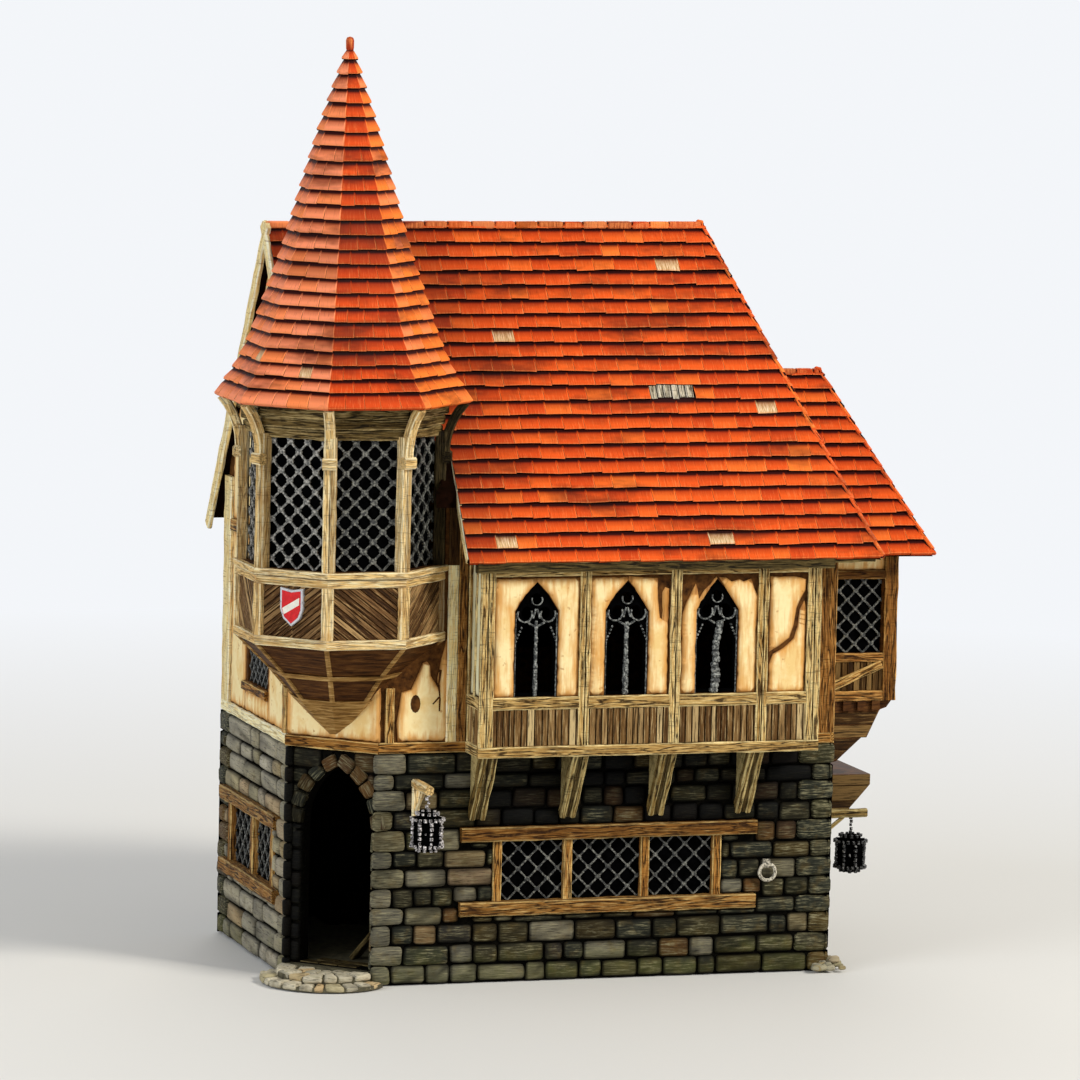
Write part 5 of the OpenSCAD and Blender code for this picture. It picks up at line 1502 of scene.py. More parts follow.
def build_turret():
    """Bands, posts, curved braces and boards of the turret."""
    # the corner that lies against the roof is in deep shade
    dim = {8: 0.8}
    apron0, apron1 = TZ + 2.6, T_SILL - 4.2
    s = Shape(81)
    for k in (0, 3, 4, 5, 6, 7):
        f = facet(k, TR)
        half = TR * SIDE
        mark = 0.7 if k == 0 else 0.0
        for z0, z1, w in ((TZ, apron0, 0.4), (apron1, T_SILL - 2.0, 0.1),
                          (T_SILL - 1.7, T_SILL, 0.9)):
            box(s, f, -half - w * 0.4, half + w * 0.4, -1.2, w, z0, z1, wear=0.08, mark=mark)
    for k in range(3, 9):
        box(s, corner(k, TR - 0.4), -1.6, 1.6, -1.3, 0.45, apron0, apron1, mark=dim.get(k, 0.0))
    s.build("turret_bands", WARM_PALE, "timber", "turret_mouldings")

    lit, shaded = Shape(82), Shape(86)
    for k in range(3, 9):
        s = shaded if k == 8 else lit
        f = corner(k, TR)
        mark = dim.get(k, 0.0)
        box(s, f, -1.7, 0.0, -3.2, -0.2, T_SILL, T_HEAD + 1, mark=mark)
        box(s, f, 0.15, 1.7, -3.2, -0.35, T_SILL, T_HEAD + 1, mark=max(mark, 0.42))
        brace_z = T_EAVE - 13.4
        box(s, f, -1.9, 1.9, -1.2, 1.2, brace_z - 3.0, brace_z + 0.2, chamfer=0.5, mark=mark)
        # the curved brace: it leans out by this much up to the eave
        rise, out = T_EAVE - brace_z, 5.2
        r = (out * out + rise * rise) / (2 * out)
        last = None
        for i in range(6):
            q = math.asin(rise / r) * i / 5
            here = f.at(0, 0.6 + r - r * math.cos(q) - 1.2, brace_z + r * math.sin(q))
            if last:
                d = (Vector(here) - Vector(last)).normalized()
                side = Vector((f.ax, f.ay, 0))
                beam(s, Vector(last) - d * 0.2, Vector(here) + d * 0.2, side, d.cross(side), 2.7,
                     2.4, wear=0.06, mark=mark)
            last = here
    lit.build("turret_timbers", WARM_PALE, "timber", "turret_posts")
    # the corner against the roof takes the darker timber: painted shade
    shaded.build("turret_timbers_shaded", WEATHERED_AND_SHADED, "timber")

    s = Shape(83)
    leans = {3: (-50,), 4: (-50,), 5: (38, 38), 6: (-38,), 7: (42,), 8: (42,)}
    for k, angles in leans.items():
        f = facet(k, TR - 1.2)
        half = (TR - 1.2) * SIDE - 1.4
        wide = 2 * half / len(angles)
        for i, angle in enumerate(angles):
            slats(s, f, -half + i * wide, -half + (i + 1) * wide, apron0, apron1, -0.3, 0.55, 1.5,
                  angle, gap=0.36)
    s.build("turret_boards", SLAT, "timber")
    node("turret_apron", BROWN_PLAIN)

    s = Shape(84)
    high = T_EAVE - T_HEAD
    for k in range(3, 9):
        f = facet(k, TR)
        half = TR * SIDE * 0.97
        # the facet against the roof is painted darker: painted shade
        mark = 0.75 if k == 8 else 0.0
        for a, b, w in ((0.0, 0.30, -1.4), (0.33, 0.62, -0.7), (0.65, 0.97, 0.35)):
            box(s, f, -half, half, -4, w, T_HEAD + high * a, T_HEAD + high * b, wear=0.2,
                chamfer=0.35, mark=mark)
    s.build("turret_head_boards", HEAD_BOARD, "timber", "turret_head")

    node("turret_corbel", BROWN_PLAIN)
    node("corbel_ribs", RIB)
    build_shield()


def build_shield():
    """Plain shield: a red field with a pale slanting band and a silver rim."""
    face = Face(TC - R2 * TR * FLAT, TC - R2 * TR * FLAT, (R2, -R2), (-R2, -R2))
    z0 = TZ + 5.8
    line = [(-3.5, 10.4), (0, 9.8), (3.5, 10.4), (3.5, 4.6), (2.5, 2), (0, 0), (-2.5, 2),
            (-3.5, 4.6)]
    outer = [(u, z + z0) for u, z in line]
    cz = z0 + 5.4
    inner = [(u * 0.82, cz + (z - cz) * 0.86) for u, z in outer]
    rim = Shape(85)
    slab(rim, face, outer, -1.1, 0.2, bevel=0.15)
    rim.build("shield_rim", IRON_BRIGHT, "shield", "shield")
    field = Shape(86)
    slab(field, face, inner, 0.0, 0.42, bevel=0.12)
    field.build("shield_field", RED, "shield")
    band = Shape(87)
    bar = clip_poly([(-4, cz - 3.4), (-4, cz - 1.4), (4, cz + 3.4), (4, cz + 1.4)],
                    [(u * 0.9, z) for u, z in inner])
    slab(band, face, bar, 0.3, 0.56, bevel=0.08)
    band.build("shield_band", PALE, "shield")


def clip_poly(poly, outline):
    """The part of a polygon inside a convex outline."""
    sign = 1 if turning(outline) >= 0 else -1
    for a, b in pairs(outline):
        poly = clip(poly, lambda p: sign * turning([a, b, p]))
    return poly


def seen_ray(tree):
    """One for rays from the camera and their mirror images, nothing for the rest."""
    path = tree.nodes.new("ShaderNodeLightPath")
    last = path.outputs["Is Camera Ray"]
    for name in ("Is Glossy Ray", "Is Transmission Ray"):
        top = tree.nodes.new("ShaderNodeMath")
        top.operation = "MAXIMUM"
        tree.links.new(last, top.inputs[0])
        tree.links.new(path.outputs[name], top.inputs[1])
        last = top.outputs[0]
    return last


# Tiles: how far they stand over the slab, the ridge's cap, height of a course and width of a tile
TILE_T = 1.15
RIDGE_CAP = 2.4
COURSE = 4.65
# Beyond the end of any course, and where a tile's corners lie across it
FAR = 1e3
TILE_SHARES = (0.0, 0.06, 0.5, 0.94, 1.0)
TILE_W = 6.2
# Where pale tiles lie on the front slope: x and y of the plan
PALE_TILES = [(114.6, 38.1), (63.3, 25.5), (132.3, 11.6), (54.5, -11.1), (114.9, -11.4)]


def tile(shape, plane, limits, u0, u1, v0, v1, lift, mark, twin, foot=0.0):
    """One tile on a slope: v0 is its lower edge, which stands out by lift, v1 its upper edge.

    limits(v) gives how far left and right the slope reaches there.
    """
    rng = shape.rng
    tone = rng.choice((rng.uniform(0.4, 0.65), rng.uniform(0.2, 0.75)))
    drop = rng.uniform(-0.22, 0.22) if foot == 0 else rng.uniform(0.0, 0.3)
    skew = rng.uniform(-0.25, 0.25) if foot == 0 else 0.0
    crown = rng.uniform(0.0, 0.16)
    heights = (-0.05, crown * 0.6, crown, crown * 0.6, -0.05)
    rows = [(v0 + drop, lift * 0.82, 1.0), (v0 + drop + 0.35, lift, 0.93),
            ((v0 + v1) / 2, lift * 0.6, 0.72), (v1, 0.1, 0.0)]

    def spots(v):
        lo, hi = limits(v)
        a, b = max(u0, lo), min(u1, hi)
        if b - a <= 0.02:
            a, b = min(a, hi) - 0.01, min(a, hi) + 0.01
        return [a + (b - a) * share for share in TILE_SHARES]
    tile_body(shape, plane, spots, heights, rows, ((v0 + drop, lift * 0.82 - 1.05), (v1, -0.3)),
              (tone, mark, twin, foot), skew=skew)


def tile_body(shape, plane, spots, heights, rows, under, look, skew=0.0, tail=0.3, scale=1.0):
    """Mesh of a tile: rows (v, w, relief) of five corners, and four corners underneath.

    spots(v) gives the five places across it, under the v and w of the lower corners.
    """
    tone, mark, twin, foot = look
    shift = shape.draw(2, 90)
    points, grain, relief = [], [], []
    for r, (v, w, g) in enumerate(rows):
        for c, (u, h) in enumerate(zip(spots(v), heights)):
            lean = skew * (TILE_SHARES[c] - 0.5) if r < 2 else 0
            points.append(plane(u, v + lean, w + h * (1 if g else tail)))
            grain.append((u * scale + shift[0], v + shift[1], 0))
            # the worn side edges are as light as the foot
            relief.append(1.0 if c in (0, 4) and g > 0.5 else g)
    for side in (0, 4):
        for v, w in under:
            u = spots(v)[side]
            points.append(plane(u, v, w))
            grain.append((u * scale + shift[0], v + shift[1], 0))
            relief.append(0.0)
    faces = [[r * 5 + c, r * 5 + c + 1, r * 5 + 6 + c, r * 5 + 5 + c]
             for r in range(3) for c in range(4)]
    tints = [[(tone, relief[q], mark, twin) for q in face] for face in faces]
    faces += [[20, 22, 4, 3, 2, 1, 0], [21, 15, 16, 17, 18, 19, 23], [20, 0, 5, 10, 15, 21],
              [22, 23, 19, 14, 9, 4], [20, 21, 23, 22]]
    # the foot face's relief is foot; at nothing the paint turns it near black: painted shade under
    # the tile
    tints += [(tone, foot, mark * 0.5, twin)] + [(tone, 0.3, mark * 0.5, twin)] * 4
    shape.add(points, grain, faces, tints)


def tiled(shape, plane, reach, length, course, width, keep=None, marks=(), twin=0.0, missing=()):
    """Courses of tiles on a slope, then a shorter one under the ridge.

    reach(v, base) gives where the slope starts and ends at v for the course that starts at base.
    Returns the rectangles of the tiles that are missing.
    """
    rng = shape.rng
    count = max(1, round((length - RIDGE_CAP) / course))
    step = (length - RIDGE_CAP) / count
    feet = [i * step for i in range(count + 1)]
    gaps = []
    for i, v0 in enumerate(feet):
        v1 = min(length, v0 + step * 1.28)
        base = v0 + min(step, length - v0) * 0.3
        a, b = reach(base, base)
        if b - a < 0.8:
            continue
        n = max(1, round((b - a) / width))
        shift = 0.25 if i % 2 else -0.25
        cuts = [a + (b - a) * (k + rng.uniform(-0.16, 0.16) + shift) / n for k in range(1, n)]
        edges = [-FAR] + cuts + [FAR]
        for u0, u1 in zip(edges, edges[1:]):
            um, vm = (max(u0, a) + min(u1, b)) / 2, v0 + step / 2
            if keep and not keep(um, vm):
                continue
            if any(abs(um - m[0]) < m[2] and abs(vm - m[1]) < m[3] for m in missing):
                gaps.append((u0, u1, v0, v0 + step))
                continue
            pale = any(u0 < m[0] <= u1 and abs(vm - m[1]) < step * 0.5 for m in marks)
            dark = twin(um, v0) if callable(twin) else twin
            tile(shape, plane, lambda v: reach(v, base), u0 + 0.05, u1 - 0.05, v0, v1, TILE_T,
                 1.0 if pale else 0.0, dark, 0.8 if i == 0 else 0.0)
    return gaps


def edge_tiles(shape, low, high, side, up, step):
    """Narrow overlapping tiles along the edge from low to high where two slopes meet."""
    low, high = Vector(low), Vector(high)
    count = max(2, round((high - low).length / step))
    side, up = Vector(side).normalized(), Vector(up).normalized()
    for k in range(count):
        a, b = low.lerp(high, k / count), low.lerp(high, (k + 1.15) / count)
        start = len(shape.tints)
        beam(shape, a + up * 0.12, b - up * 0.3, side, up, 1.5, 0.8, wear=0.1, chamfer=0.2)
        tone = shape.rng.uniform(0.4, 0.8)
        shape.tints[start:] = [(tone, 0.95, 0.0, 0.0)] * (len(shape.tints) - start)


def slope_plane(axis, eave, z_eave, slope, side):
    """A roof slope as plane(u, v, w): u runs along its eave, v up it and w out of it.

    The slope rises from eave along axis 0 or 1 of the plan; side says which way it faces.
    """
    n = math.hypot(1, slope)

    def plane(u, v, w):
        w -= TILE_T
        across = eave - side * v / n + side * w * slope / n
        z = z_eave + v * slope / n + w / n
        return (across, u, z) if axis == 0 else (u, across, z)
    return plane


def corner_tiles(shape, foot, head, first, second, start, step):
    """Tiles over the edge between two slopes, whose normals are first and second."""
    foot, head = Vector(foot), Vector(head)
    up = Vector(first).normalized() + Vector(second).normalized()
    along = (head - foot).normalized()
    lift = up.normalized() * 0.45
    edge_tiles(shape, foot - lift + along * start, head - lift * 2, along.cross(up), up, step)


# Directions up the front slope and out of it
UP_FRONT = Vector((0, 1, FRONT_S)).normalized()
OUT_FRONT = Vector((0, -FRONT_S, 1)).normalized()


def build_main_roof():
    """Tiles on the front, back and hip slopes, and the boards bared where some are missing."""
    n_front = math.hypot(1, FRONT_S)
    n_back = math.hypot(1, BACK_S)
    n_hip = math.hypot(1, HIP_S)
    hip_n = (HIP_S, 0, 1)
    front_n = (0, -FRONT_S, 1)
    back_n = (0, BACK_S, 1)
    top = (0, RIDGE_Y, RIDGE)
    recessed("front_slab", "roof_front_slope", DARK_TILE, "roof_tile", [(top, front_n, TILE_T)])
    recessed("back_slab", "roof_back_slope", DARK_TILE, "roof_tile", [(top, back_n, TILE_T)])
    recessed("hip_slab", "roof_hip", DARK_TILE, "roof_tile",
             [((RIGHT_EAVE, 0, EAVE), hip_n, TILE_T), (top, front_n, TILE_T),
              (top, back_n, TILE_T)])
    front_len = (RIDGE_Y - FRONT_EAVE) * n_front
    back_len = (BACK_EAVE - RIDGE_Y) * n_back

    front_plane = slope_plane(1, FRONT_EAVE, EAVE, FRONT_S, -1)
    back_plane = slope_plane(1, BACK_EAVE, EAVE, BACK_S, 1)
    hip_plane = slope_plane(0, RIGHT_EAVE, EAVE, HIP_S, 1)

    def front_reach(v, base):
        left = BAY_VERGE if FRONT_EAVE + base / n_front < FLUSH_EAVE + 7 else VERGE + 1.2
        return left, RIGHT_EAVE - v * FRONT_S / n_front / HIP_S

    def back_reach(v, _):
        return VERGE + 1.2, RIGHT_EAVE - v * BACK_S / n_back / HIP_S

    def clear_front(u, v):
        p = front_plane(u, v, 0)
        x, y = p[0] - TC, p[1] - TC
        out = max(x * n + y * m for n, m in oval(0, 0, 1, 1, 8))
        return out > TR * FLAT - 1.8 or p[2] > T_EAVE + 3

    def soot(u, v):
        p = front_plane(u, v, 0)
        d = math.hypot(p[0] - TC, (p[1] - TC) * 0.5) - TR
        return max(0.0, min(1.0, 1.0 - d / 20.0)) * 0.7

    marks = [(x, (y - FRONT_EAVE) * n_front) for x, y in PALE_TILES]
    s = Shape(91)
    gaps = tiled(s, front_plane, front_reach, front_len, COURSE, TILE_W, clear_front, marks, soot,
                 [(109.0, (14.6 - FRONT_EAVE) * n_front, 6.2, 2.3)])
    head = (RIGHT_EAVE - HIP_RUN, RIDGE_Y, RIDGE)
    corner_tiles(s, (RIGHT_EAVE, FRONT_EAVE, EAVE), head, front_n, hip_n, 0.8, COURSE)
    s.build("front_tiles", TILE, "roof_tile")
    s = Shape(92)
    tiled(s, back_plane, back_reach, back_len, COURSE, TILE_W)
    corner_tiles(s, (RIGHT_EAVE, BACK_EAVE, EAVE), head, back_n, hip_n, 0.8, COURSE)
    s.build("back_tiles", TILE, "roof_tile")

    def hip_reach(v, _):
        z = v * HIP_S / n_hip
        return FRONT_EAVE + z / FRONT_S, BACK_EAVE - z / BACK_S

    def clear_hip(u, v):
        # all but the tiles that lie wholly under the oriel's roof
        z = EAVE + v * HIP_S / n_hip + 2.5
        half = (O_RIDGE - z) * (RIDGE_Y - O_EAVE_Y) / (O_RIDGE - OZ1)
        return z >= O_RIDGE or abs(u - RIDGE_Y) + 3.6 >= half

    s = Shape(93)
    tiled(s, hip_plane, hip_reach, HIP_RUN * n_hip, COURSE, TILE_W, clear_hip)
    s.build("hip_tiles", TILE, "roof_tile")

    # boards that show where tiles are missing
    s = Shape(94)
    if gaps:
        u, end = min(g[0] for g in gaps), max(g[1] for g in gaps)
        v0, v1 = min(g[2] for g in gaps), max(g[3] for g in gaps)
        while u < end - 0.8:
            wide = min(s.rng.uniform(1.7, 2.7), end - u)
            low = Vector(front_plane(u + wide / 2, v0 + s.rng.uniform(0.3, 0.9), 0.2))
            beam(s, low, low + UP_FRONT * (v1 - v0 + 0.4), (1, 0, 0), OUT_FRONT, wide - 0.4, 0.7,
                 wear=0.1, chamfer=0.15)
            u += wide
    s.build("bare_boards", BARE_WOOD, "timber")


def build_roof_edges():
    """Ridge tiles, verge boards and the beam under the bay's eave."""
    s = Shape(95)
    ridge_stones(s, VERGE + 0.2, RIGHT_EAVE - HIP_RUN - 0.6, RIDGE, (2.4, 0.4), 5.0, 8.0, 3)
    s.build("ridge_tiles", TILE, "roof_tile")

    s = Shape(96)
    # the front one starts where it comes out from behind the turret
    for y, z, side, start in ((FLUSH_EAVE, roof_z(60, FLUSH_EAVE), 1, 52),
                              (BACK_EAVE + 0.4, EAVE - 1.2, -1, 0)):
        d = Vector((0, RIDGE_Y - y, RIDGE - z)).normalized()
        out = Vector((0, -d.z, d.y)) * side
        a = Vector((VERGE + 0.75, y, z)) - out * 2.3 + d * start
        b = Vector((VERGE + 0.75, RIDGE_Y, RIDGE)) - out * 2.3
        beam(s, a, b, out, (1, 0, 0), 3.8, 1.4, wear=0.15, chamfer=0.4)
    s.build("verge_boards", PALE_WOOD, "timber", "barge_boards")

    s = Shape(97)
    a = Vector((BAY_VERGE + 0.3, FRONT_EAVE, EAVE)) - OUT_FRONT * 2.0 + UP_FRONT * 1.6
    beam(s, a, a + UP_FRONT * 43, OUT_FRONT, (1, 0, 0), 2.4, 1.0, wear=0.1)
    s.build("bay_verge_board", PALE_WOOD, "timber")
    s = Shape(98)
    box(s, FRONT, BAY0 - 2, BAY1 + 2.5, JETTY, 14.9, EAVE - 3, EAVE, wear=0.2, chamfer=0.4)
    box(s, FRONT, BAY1 + 2.2, RIGHT_EAVE - 2.5, JETTY, 14.4, EAVE - 1.5, EAVE, wear=0.15,
        chamfer=0.3)
    s.build("eave_board", WEATHERED_AND_SHADED, "timber", "eave_beam")


def build_oriel_roof():
    """Tiles on the oriel's three slopes."""
    run = RIDGE_Y - O_EAVE_Y
    rise = O_RIDGE - OZ1
    slope = rise / run
    n = math.hypot(1, slope)
    end_run = O_EAVE_X - O_HIP_X
    end_slope = rise / end_run
    ne = math.hypot(1, end_slope)
    recessed("oriel_core", "oriel_roof", DARK_TILE, "roof_tile",
             [((0, RIDGE_Y, O_RIDGE), (0, -slope, 1), TILE_T),
              ((0, RIDGE_Y, O_RIDGE), (0, slope, 1), TILE_T),
              ((O_HIP_X, 0, O_RIDGE), (end_slope, 0, 1), TILE_T)])
    s = Shape(101)
    for side in (-1, 1):
        plane = slope_plane(1, RIDGE_Y + side * run, OZ1, slope, side)

        def reach(v, base):
            z = OZ1 + base * slope / n
            start = WX + PROUD + 0.3 if z < EAVE else RIGHT_EAVE - (z - EAVE) / HIP_S - 1.5
            return start, O_EAVE_X - v * slope / n / end_slope
        tiled(s, plane, reach, run * n, 4.6, 5.8)
        corner_tiles(s, (O_EAVE_X, RIDGE_Y + side * run, OZ1), (O_HIP_X, RIDGE_Y, O_RIDGE),
                     (0, slope * side, 1), (end_slope, 0, 1), 1.7, 6.0)

    end_plane = slope_plane(0, O_EAVE_X, OZ1, end_slope, 1)

    def end_reach(v, _):
        half = run * (1 - v * end_slope / ne / rise)
        return RIDGE_Y - half, RIDGE_Y + half
    tiled(s, end_plane, end_reach, end_run * ne, 4.6, 5.8)
    ridge_stones(s, RIGHT_EAVE - (O_RIDGE - EAVE) / HIP_S + 0.3, O_HIP_X - 0.6, O_RIDGE, (2.2, 0.3),
                 4.5, 7.0)
    s.build("oriel_tiles", TILE, "roof_tile")


# Soot on the spire: facet and course, and how dark it is
SPIRE_SOOT = {(6, 9): 0.2, (6, 10): 0.5, (6, 11): 0.6, (6, 12): 0.65, (6, 13): 0.4, (6, 3): 0.35,
              (5, 10): 0.3, (5, 9): 0.4, (5, 4): 0.25, (6, 8): 0.3, (6, 14): 0.15}


def build_spire():
    """Tiles laid on the eight flared faces, over a core that lies deeper."""
    core = Shape(111)
    points, grain, faces = [], [], []
    rings = [(SPIRE_R - 4.0, T_EAVE + 0.4)] + [(r - 1.4, T_EAVE + z) for r, z in SPIRE]
    for r, z in rings:
        for k in range(8):
            a = TURN + math.radians(45 * k)
            points.append((TC + max(0.3, r) * math.cos(a), TC + max(0.3, r) * math.sin(a), z))
            grain.append((0, 0, 0))
    n = len(rings)
    faces += [list(range(8)), list(range((n - 1) * 8, n * 8))]
    for i in range(n - 1):
        for k in range(8):
            j = (k + 1) % 8
            faces.append([i * 8 + k, i * 8 + j, i * 8 + 8 + j, i * 8 + 8 + k])
    core.add(points, grain, faces, [(0.2, 0.1, 0, 0)] * len(faces))
    core.build("spire_core", DARK_TILE, "roof_tile", "turret_spire")

    # the profile at even steps along its slope
    line = [(r - 0.37, T_EAVE + z) for r, z in SPIRE]
    total = sum(math.dist(p, q) for p, q in zip(line, line[1:]))
    count = 25

    def along(s):
        for p, q in zip(line, line[1:]):
            d = math.dist(p, q)
            if s <= d:
                return p[0] + (q[0] - p[0]) * s / d, p[1] + (q[1] - p[1]) * s / d
            s -= d
        return line[-1]

    tiles = Shape(112)
    rng = tiles.rng
    step = total / count
    flare = math.tan(TURN)
    for k in range(8):
        a = math.radians(45 * k)
        n_out = (math.cos(a), math.sin(a))
        for i in range(count):
            p0, p1 = along(i * step), along(min(total, (i + 1.25) * step))
            slant = math.dist(p0, p1)
            dr, dz = (p1[0] - p0[0]) / slant, (p1[1] - p0[1]) / slant
            half = p0[0] * SIDE
            if half < 0.5:
                continue
            num = max(1, round(half * 2 / 5.0))

            def plane(u, v, w, p0=p0, dr=dr, dz=dz, n_out=n_out):
                w -= 0.75
                r = (p0[0] + dr * max(0.0, v)) * FLAT + w * dz
                across = u * r * flare
                return (TC + n_out[0] * r - n_out[1] * across,
                        TC + n_out[1] * r + n_out[0] * across, p0[1] + dz * v - w * dr * FLAT)
            shift = 0.22 if i % 2 else -0.22
            cuts = [-1 + 2 * (j + rng.uniform(-0.15, 0.15) + shift) / num for j in range(1, num)]
            edges = [-1.0] + cuts + [1.0]
            for j in range(num):
                pale = (k, i, j) in ((5, 2, num - 2), (4, 3, num - 1))
                # each face gets its own tone: painted light and shade, as each facet takes the
                # light differently
                tone = {4: 0.96, 5: 0.98, 6: 0.24, 7: 0.82}.get(k, 0.5) + rng.uniform(-0.1, 0.1)
                soot = SPIRE_SOOT.get((k, i), 0.0)
                spire_tile(tiles, plane, edges[j], edges[j + 1], slant, tone, 1.0 if pale else 0.0,
                           half, 0.8 if i == 0 else 0.0, soot)
    tiles.build("spire_tiles", TILE, "roof_tile")
    knob = Shape(113)
    top = T_EAVE + SPIRE_H
    rock(knob, lambda p, q, r: (TC + p, TC + q, r), (-1.1, -1.1, top - 4.2), (1.1, 1.1, top - 0.1),
         r=1.0, mark=0.0, rough=0.1)
    knob.build("spire_knob", TILE, "roof_tile")


def spire_tile(shape, plane, u0, u1, slant, tone, mark, half, foot=0.0, twin=0.0):
    """A tile whose sides taper with the facet. u runs from -1 to 1 across the facet."""
    rng = shape.rng
    lift = 1.0
    drop = rng.uniform(-0.22, 0.22) if foot == 0 else -1.2 + rng.uniform(0, 0.2)
    crown = rng.uniform(0.0, 0.15)
    pad = 0.05 / half
    wide = u1 - u0
    spots = [u0 if u0 <= -1 else u0 + pad, u0 + wide * 0.07, (u0 + u1) / 2, u1 - wide * 0.07,
             u1 if u1 >= 1 else u1 - pad]
    heights = [-0.05, crown * 0.6, crown, crown * 0.6, -0.05]
    rows = [(drop, lift * 0.84, 1.0), (drop + 0.35, lift, 0.93),
            (slant * 0.5, lift * 0.6, 0.72), (slant, 0.1, 0.0)]
    tile_body(shape, plane, lambda v: spots, heights, rows,
              ((drop, lift * 0.84 - 0.95), (slant, -0.4)), (tone, mark, twin, foot),
              tail=0.2, scale=half)


def stepped_boards(name, seed, faces, start, top, rows, back, proud, mark):
    """Boards over a bracket's steps: each row has two depths under top and the ends there."""
    s = Shape(seed)
    for face in faces:
        for z1, z0, end1, end0 in rows:
            poly = [(start, top - z1), (end1, top - z1), (end0, top - z0), (start, top - z0)]
            slab(s, face, poly, back, s.rng.uniform(*proud), 0, mark=mark, relief=0.5, bevel=0.2)
    s.build(name, OLD_BOARD, "timber")


def build_oriel():
    """Timbers and boards of the oriel, its corbel and the hood."""
    s = Shape(121)
    for face in ORIEL_SIDES:
        x0, x1 = WX, OX1 - 4
        box(s, face, x1, OX1, -PROUD, 0, OZ0, OZ1, wear=0.18)
        box(s, face, x0 + 1.2, x0 + 4, -PROUD, 0, OZ0 + 3, OZ1)
        box(s, face, x0 + 1.2, x1, -PROUD, 0, OZ0, OZ0 + 2.8)
        box(s, face, x0 + 4, x1, -PROUD, -0.1, O_SILL - 2.4, O_SILL)
        box(s, face, x0 + 4, x1, -PROUD, -0.1, O_HEAD, O_HEAD + 2.5, mark=0.5)
    for y in (OY0 + PROUD, OY1 - PROUD - 3):
        box(s, ORIEL_END, y, y + 3, -PROUD, 0, OZ0, OZ1)
    box(s, ORIEL_END, RIDGE_Y - 2, RIDGE_Y + 2, -PROUD, 0, OZ0, OZ1)
    for a, b in ORIEL_LIGHTS:
        for z in (OZ0, O_SILL - 2.5, O_HEAD):
            box(s, ORIEL_END, a, b, -PROUD, -0.1, z, z + 2.5)
    s.build("oriel_timbers", RUSSET, "timber", "oriel_frame")
    s = Shape(125)
    for face in ORIEL_SIDES:
        brace(s, face, (WX + 5, OZ0 + 3.4), (OX1 - 4.4, O_SILL - 3.2), 2.4, -PROUD, 0.1)
    s.build("oriel_braces", TIMBER, "timber")

    s = Shape(122)
    for face in ORIEL_SIDES:
        slats(s, face, WX + 4, OX1 - 4, OZ0 + 2.8, O_SILL - 2.4, -PROUD - 0.3, -0.6, 1.9, 90,
              gap=0.35, mark=0.5)
    for a, b in ORIEL_LIGHTS:
        slats(s, ORIEL_END, a, b, OZ0 + 2.5, O_SILL - 2.5, -PROUD - 0.3, -0.6, 1.9, 90, gap=0.35,
              mark=0.5)
    s.build("oriel_boards", OLD_BOARD, "timber")

    stepped_boards("corbel_boards", 123, (front_at(OY0 + 1.2), back_at(OY1 - 1.2)), WX + 0.5, OZ0,
                   ((3.4, 6.8, OX1 - 4.8, OX1 - 6.2), (7.1, 10.5, OX1 - 6.4, OX1 - 8.2),
                    (10.9, 13.8, OX1 - 9.9, OX1 - 13.6), (14.1, 16.9, OX1 - 13.9, OX1 - 17.4)),
                   -0.5, (0.15, 0.4), 0.35)
    stepped_boards("hood_boards", 124, (front_at(30, BODY_L), back_at(60, BODY_L)), 0.3, 50.2,
                   ((0.1, 3, 22, 22), (3.3, 7.4, 21.7, 18.04), (7.7, 12, 17.82, 13.64)),
                   -0.6, (0.2, 0.4), 0.65)
    node("oriel_corbel", BROWN_PLAIN)
    node("side_hood", BROWN_PLAIN)


def build_fittings():
    """Lanterns, rubble, and what is seen inside the doorway."""
    node("tether_ring", STEEL)
    node("ground_floor", FLAGS)
    node("upper_floor", INSIDE)
    node("stair_flight", INSIDE)
    build_lantern("door", front_at(0, 31.4), 12.0, STONE_H - 7, 13.4, 11, WARM_PALE, LANTERN)
    # the side lantern's arm takes the darker bracket timber: painted shade
    build_lantern("side", right_at(BODY_L, 19), 12.5, STONE_H - 21.8, 17.0, 12, BRACKET, IRON)
    s = Shape(131)
    rng = s.rng
    for _ in range(30):
        x = rng.uniform(147, 157)
        y = rng.uniform(-3.2, 4.0) if x > 153 else rng.uniform(-3.4, -0.4)
        near = 1 - min(1, math.hypot(x - 153.5, y) / 9)
        size = rng.uniform(0.7, 1.7)
        z = max(0.35, rng.uniform(0, 3.5) * near - 0.3)
        rock(s, xyz, (x - size, y - size * 0.8, z), (x + size, y + size * 0.8, z + size * 1.2),
             r=size * 0.6, mark=0.7)
    s.build("rubble", STONE, "stone", smooth=True)
    # fallen board and flags just inside the doorway, painted dark: painted shade inside the house
    s = Shape(135)
    a, b = DOOR.at(0.5, -15, FLOOR_T + 0.4), DOOR.at(9.8, -12.5, FLOOR_T + 10.5)
    d = (Vector(b) - Vector(a)).normalized()
    beam(s, a, b, Vector((-R2, -R2, 0)), d.cross(Vector((-R2, -R2, 0))), 5.0, 1.2, mark=0.35)
    for u, w in ((-7, -4.5), (-1, -4.5), (5, -4.5), (-4, -8.5), (2, -8.5), (7.5, -8.5)):
        box(s, DOOR, u - 2.8, u + 2.8, w - 1.8, w + 1.8, FLOOR_T - 0.3, FLOOR_T + 0.25, mark=0.3)
    s.build("inner_boards", WEATHERED_AND_SHADED, "timber")


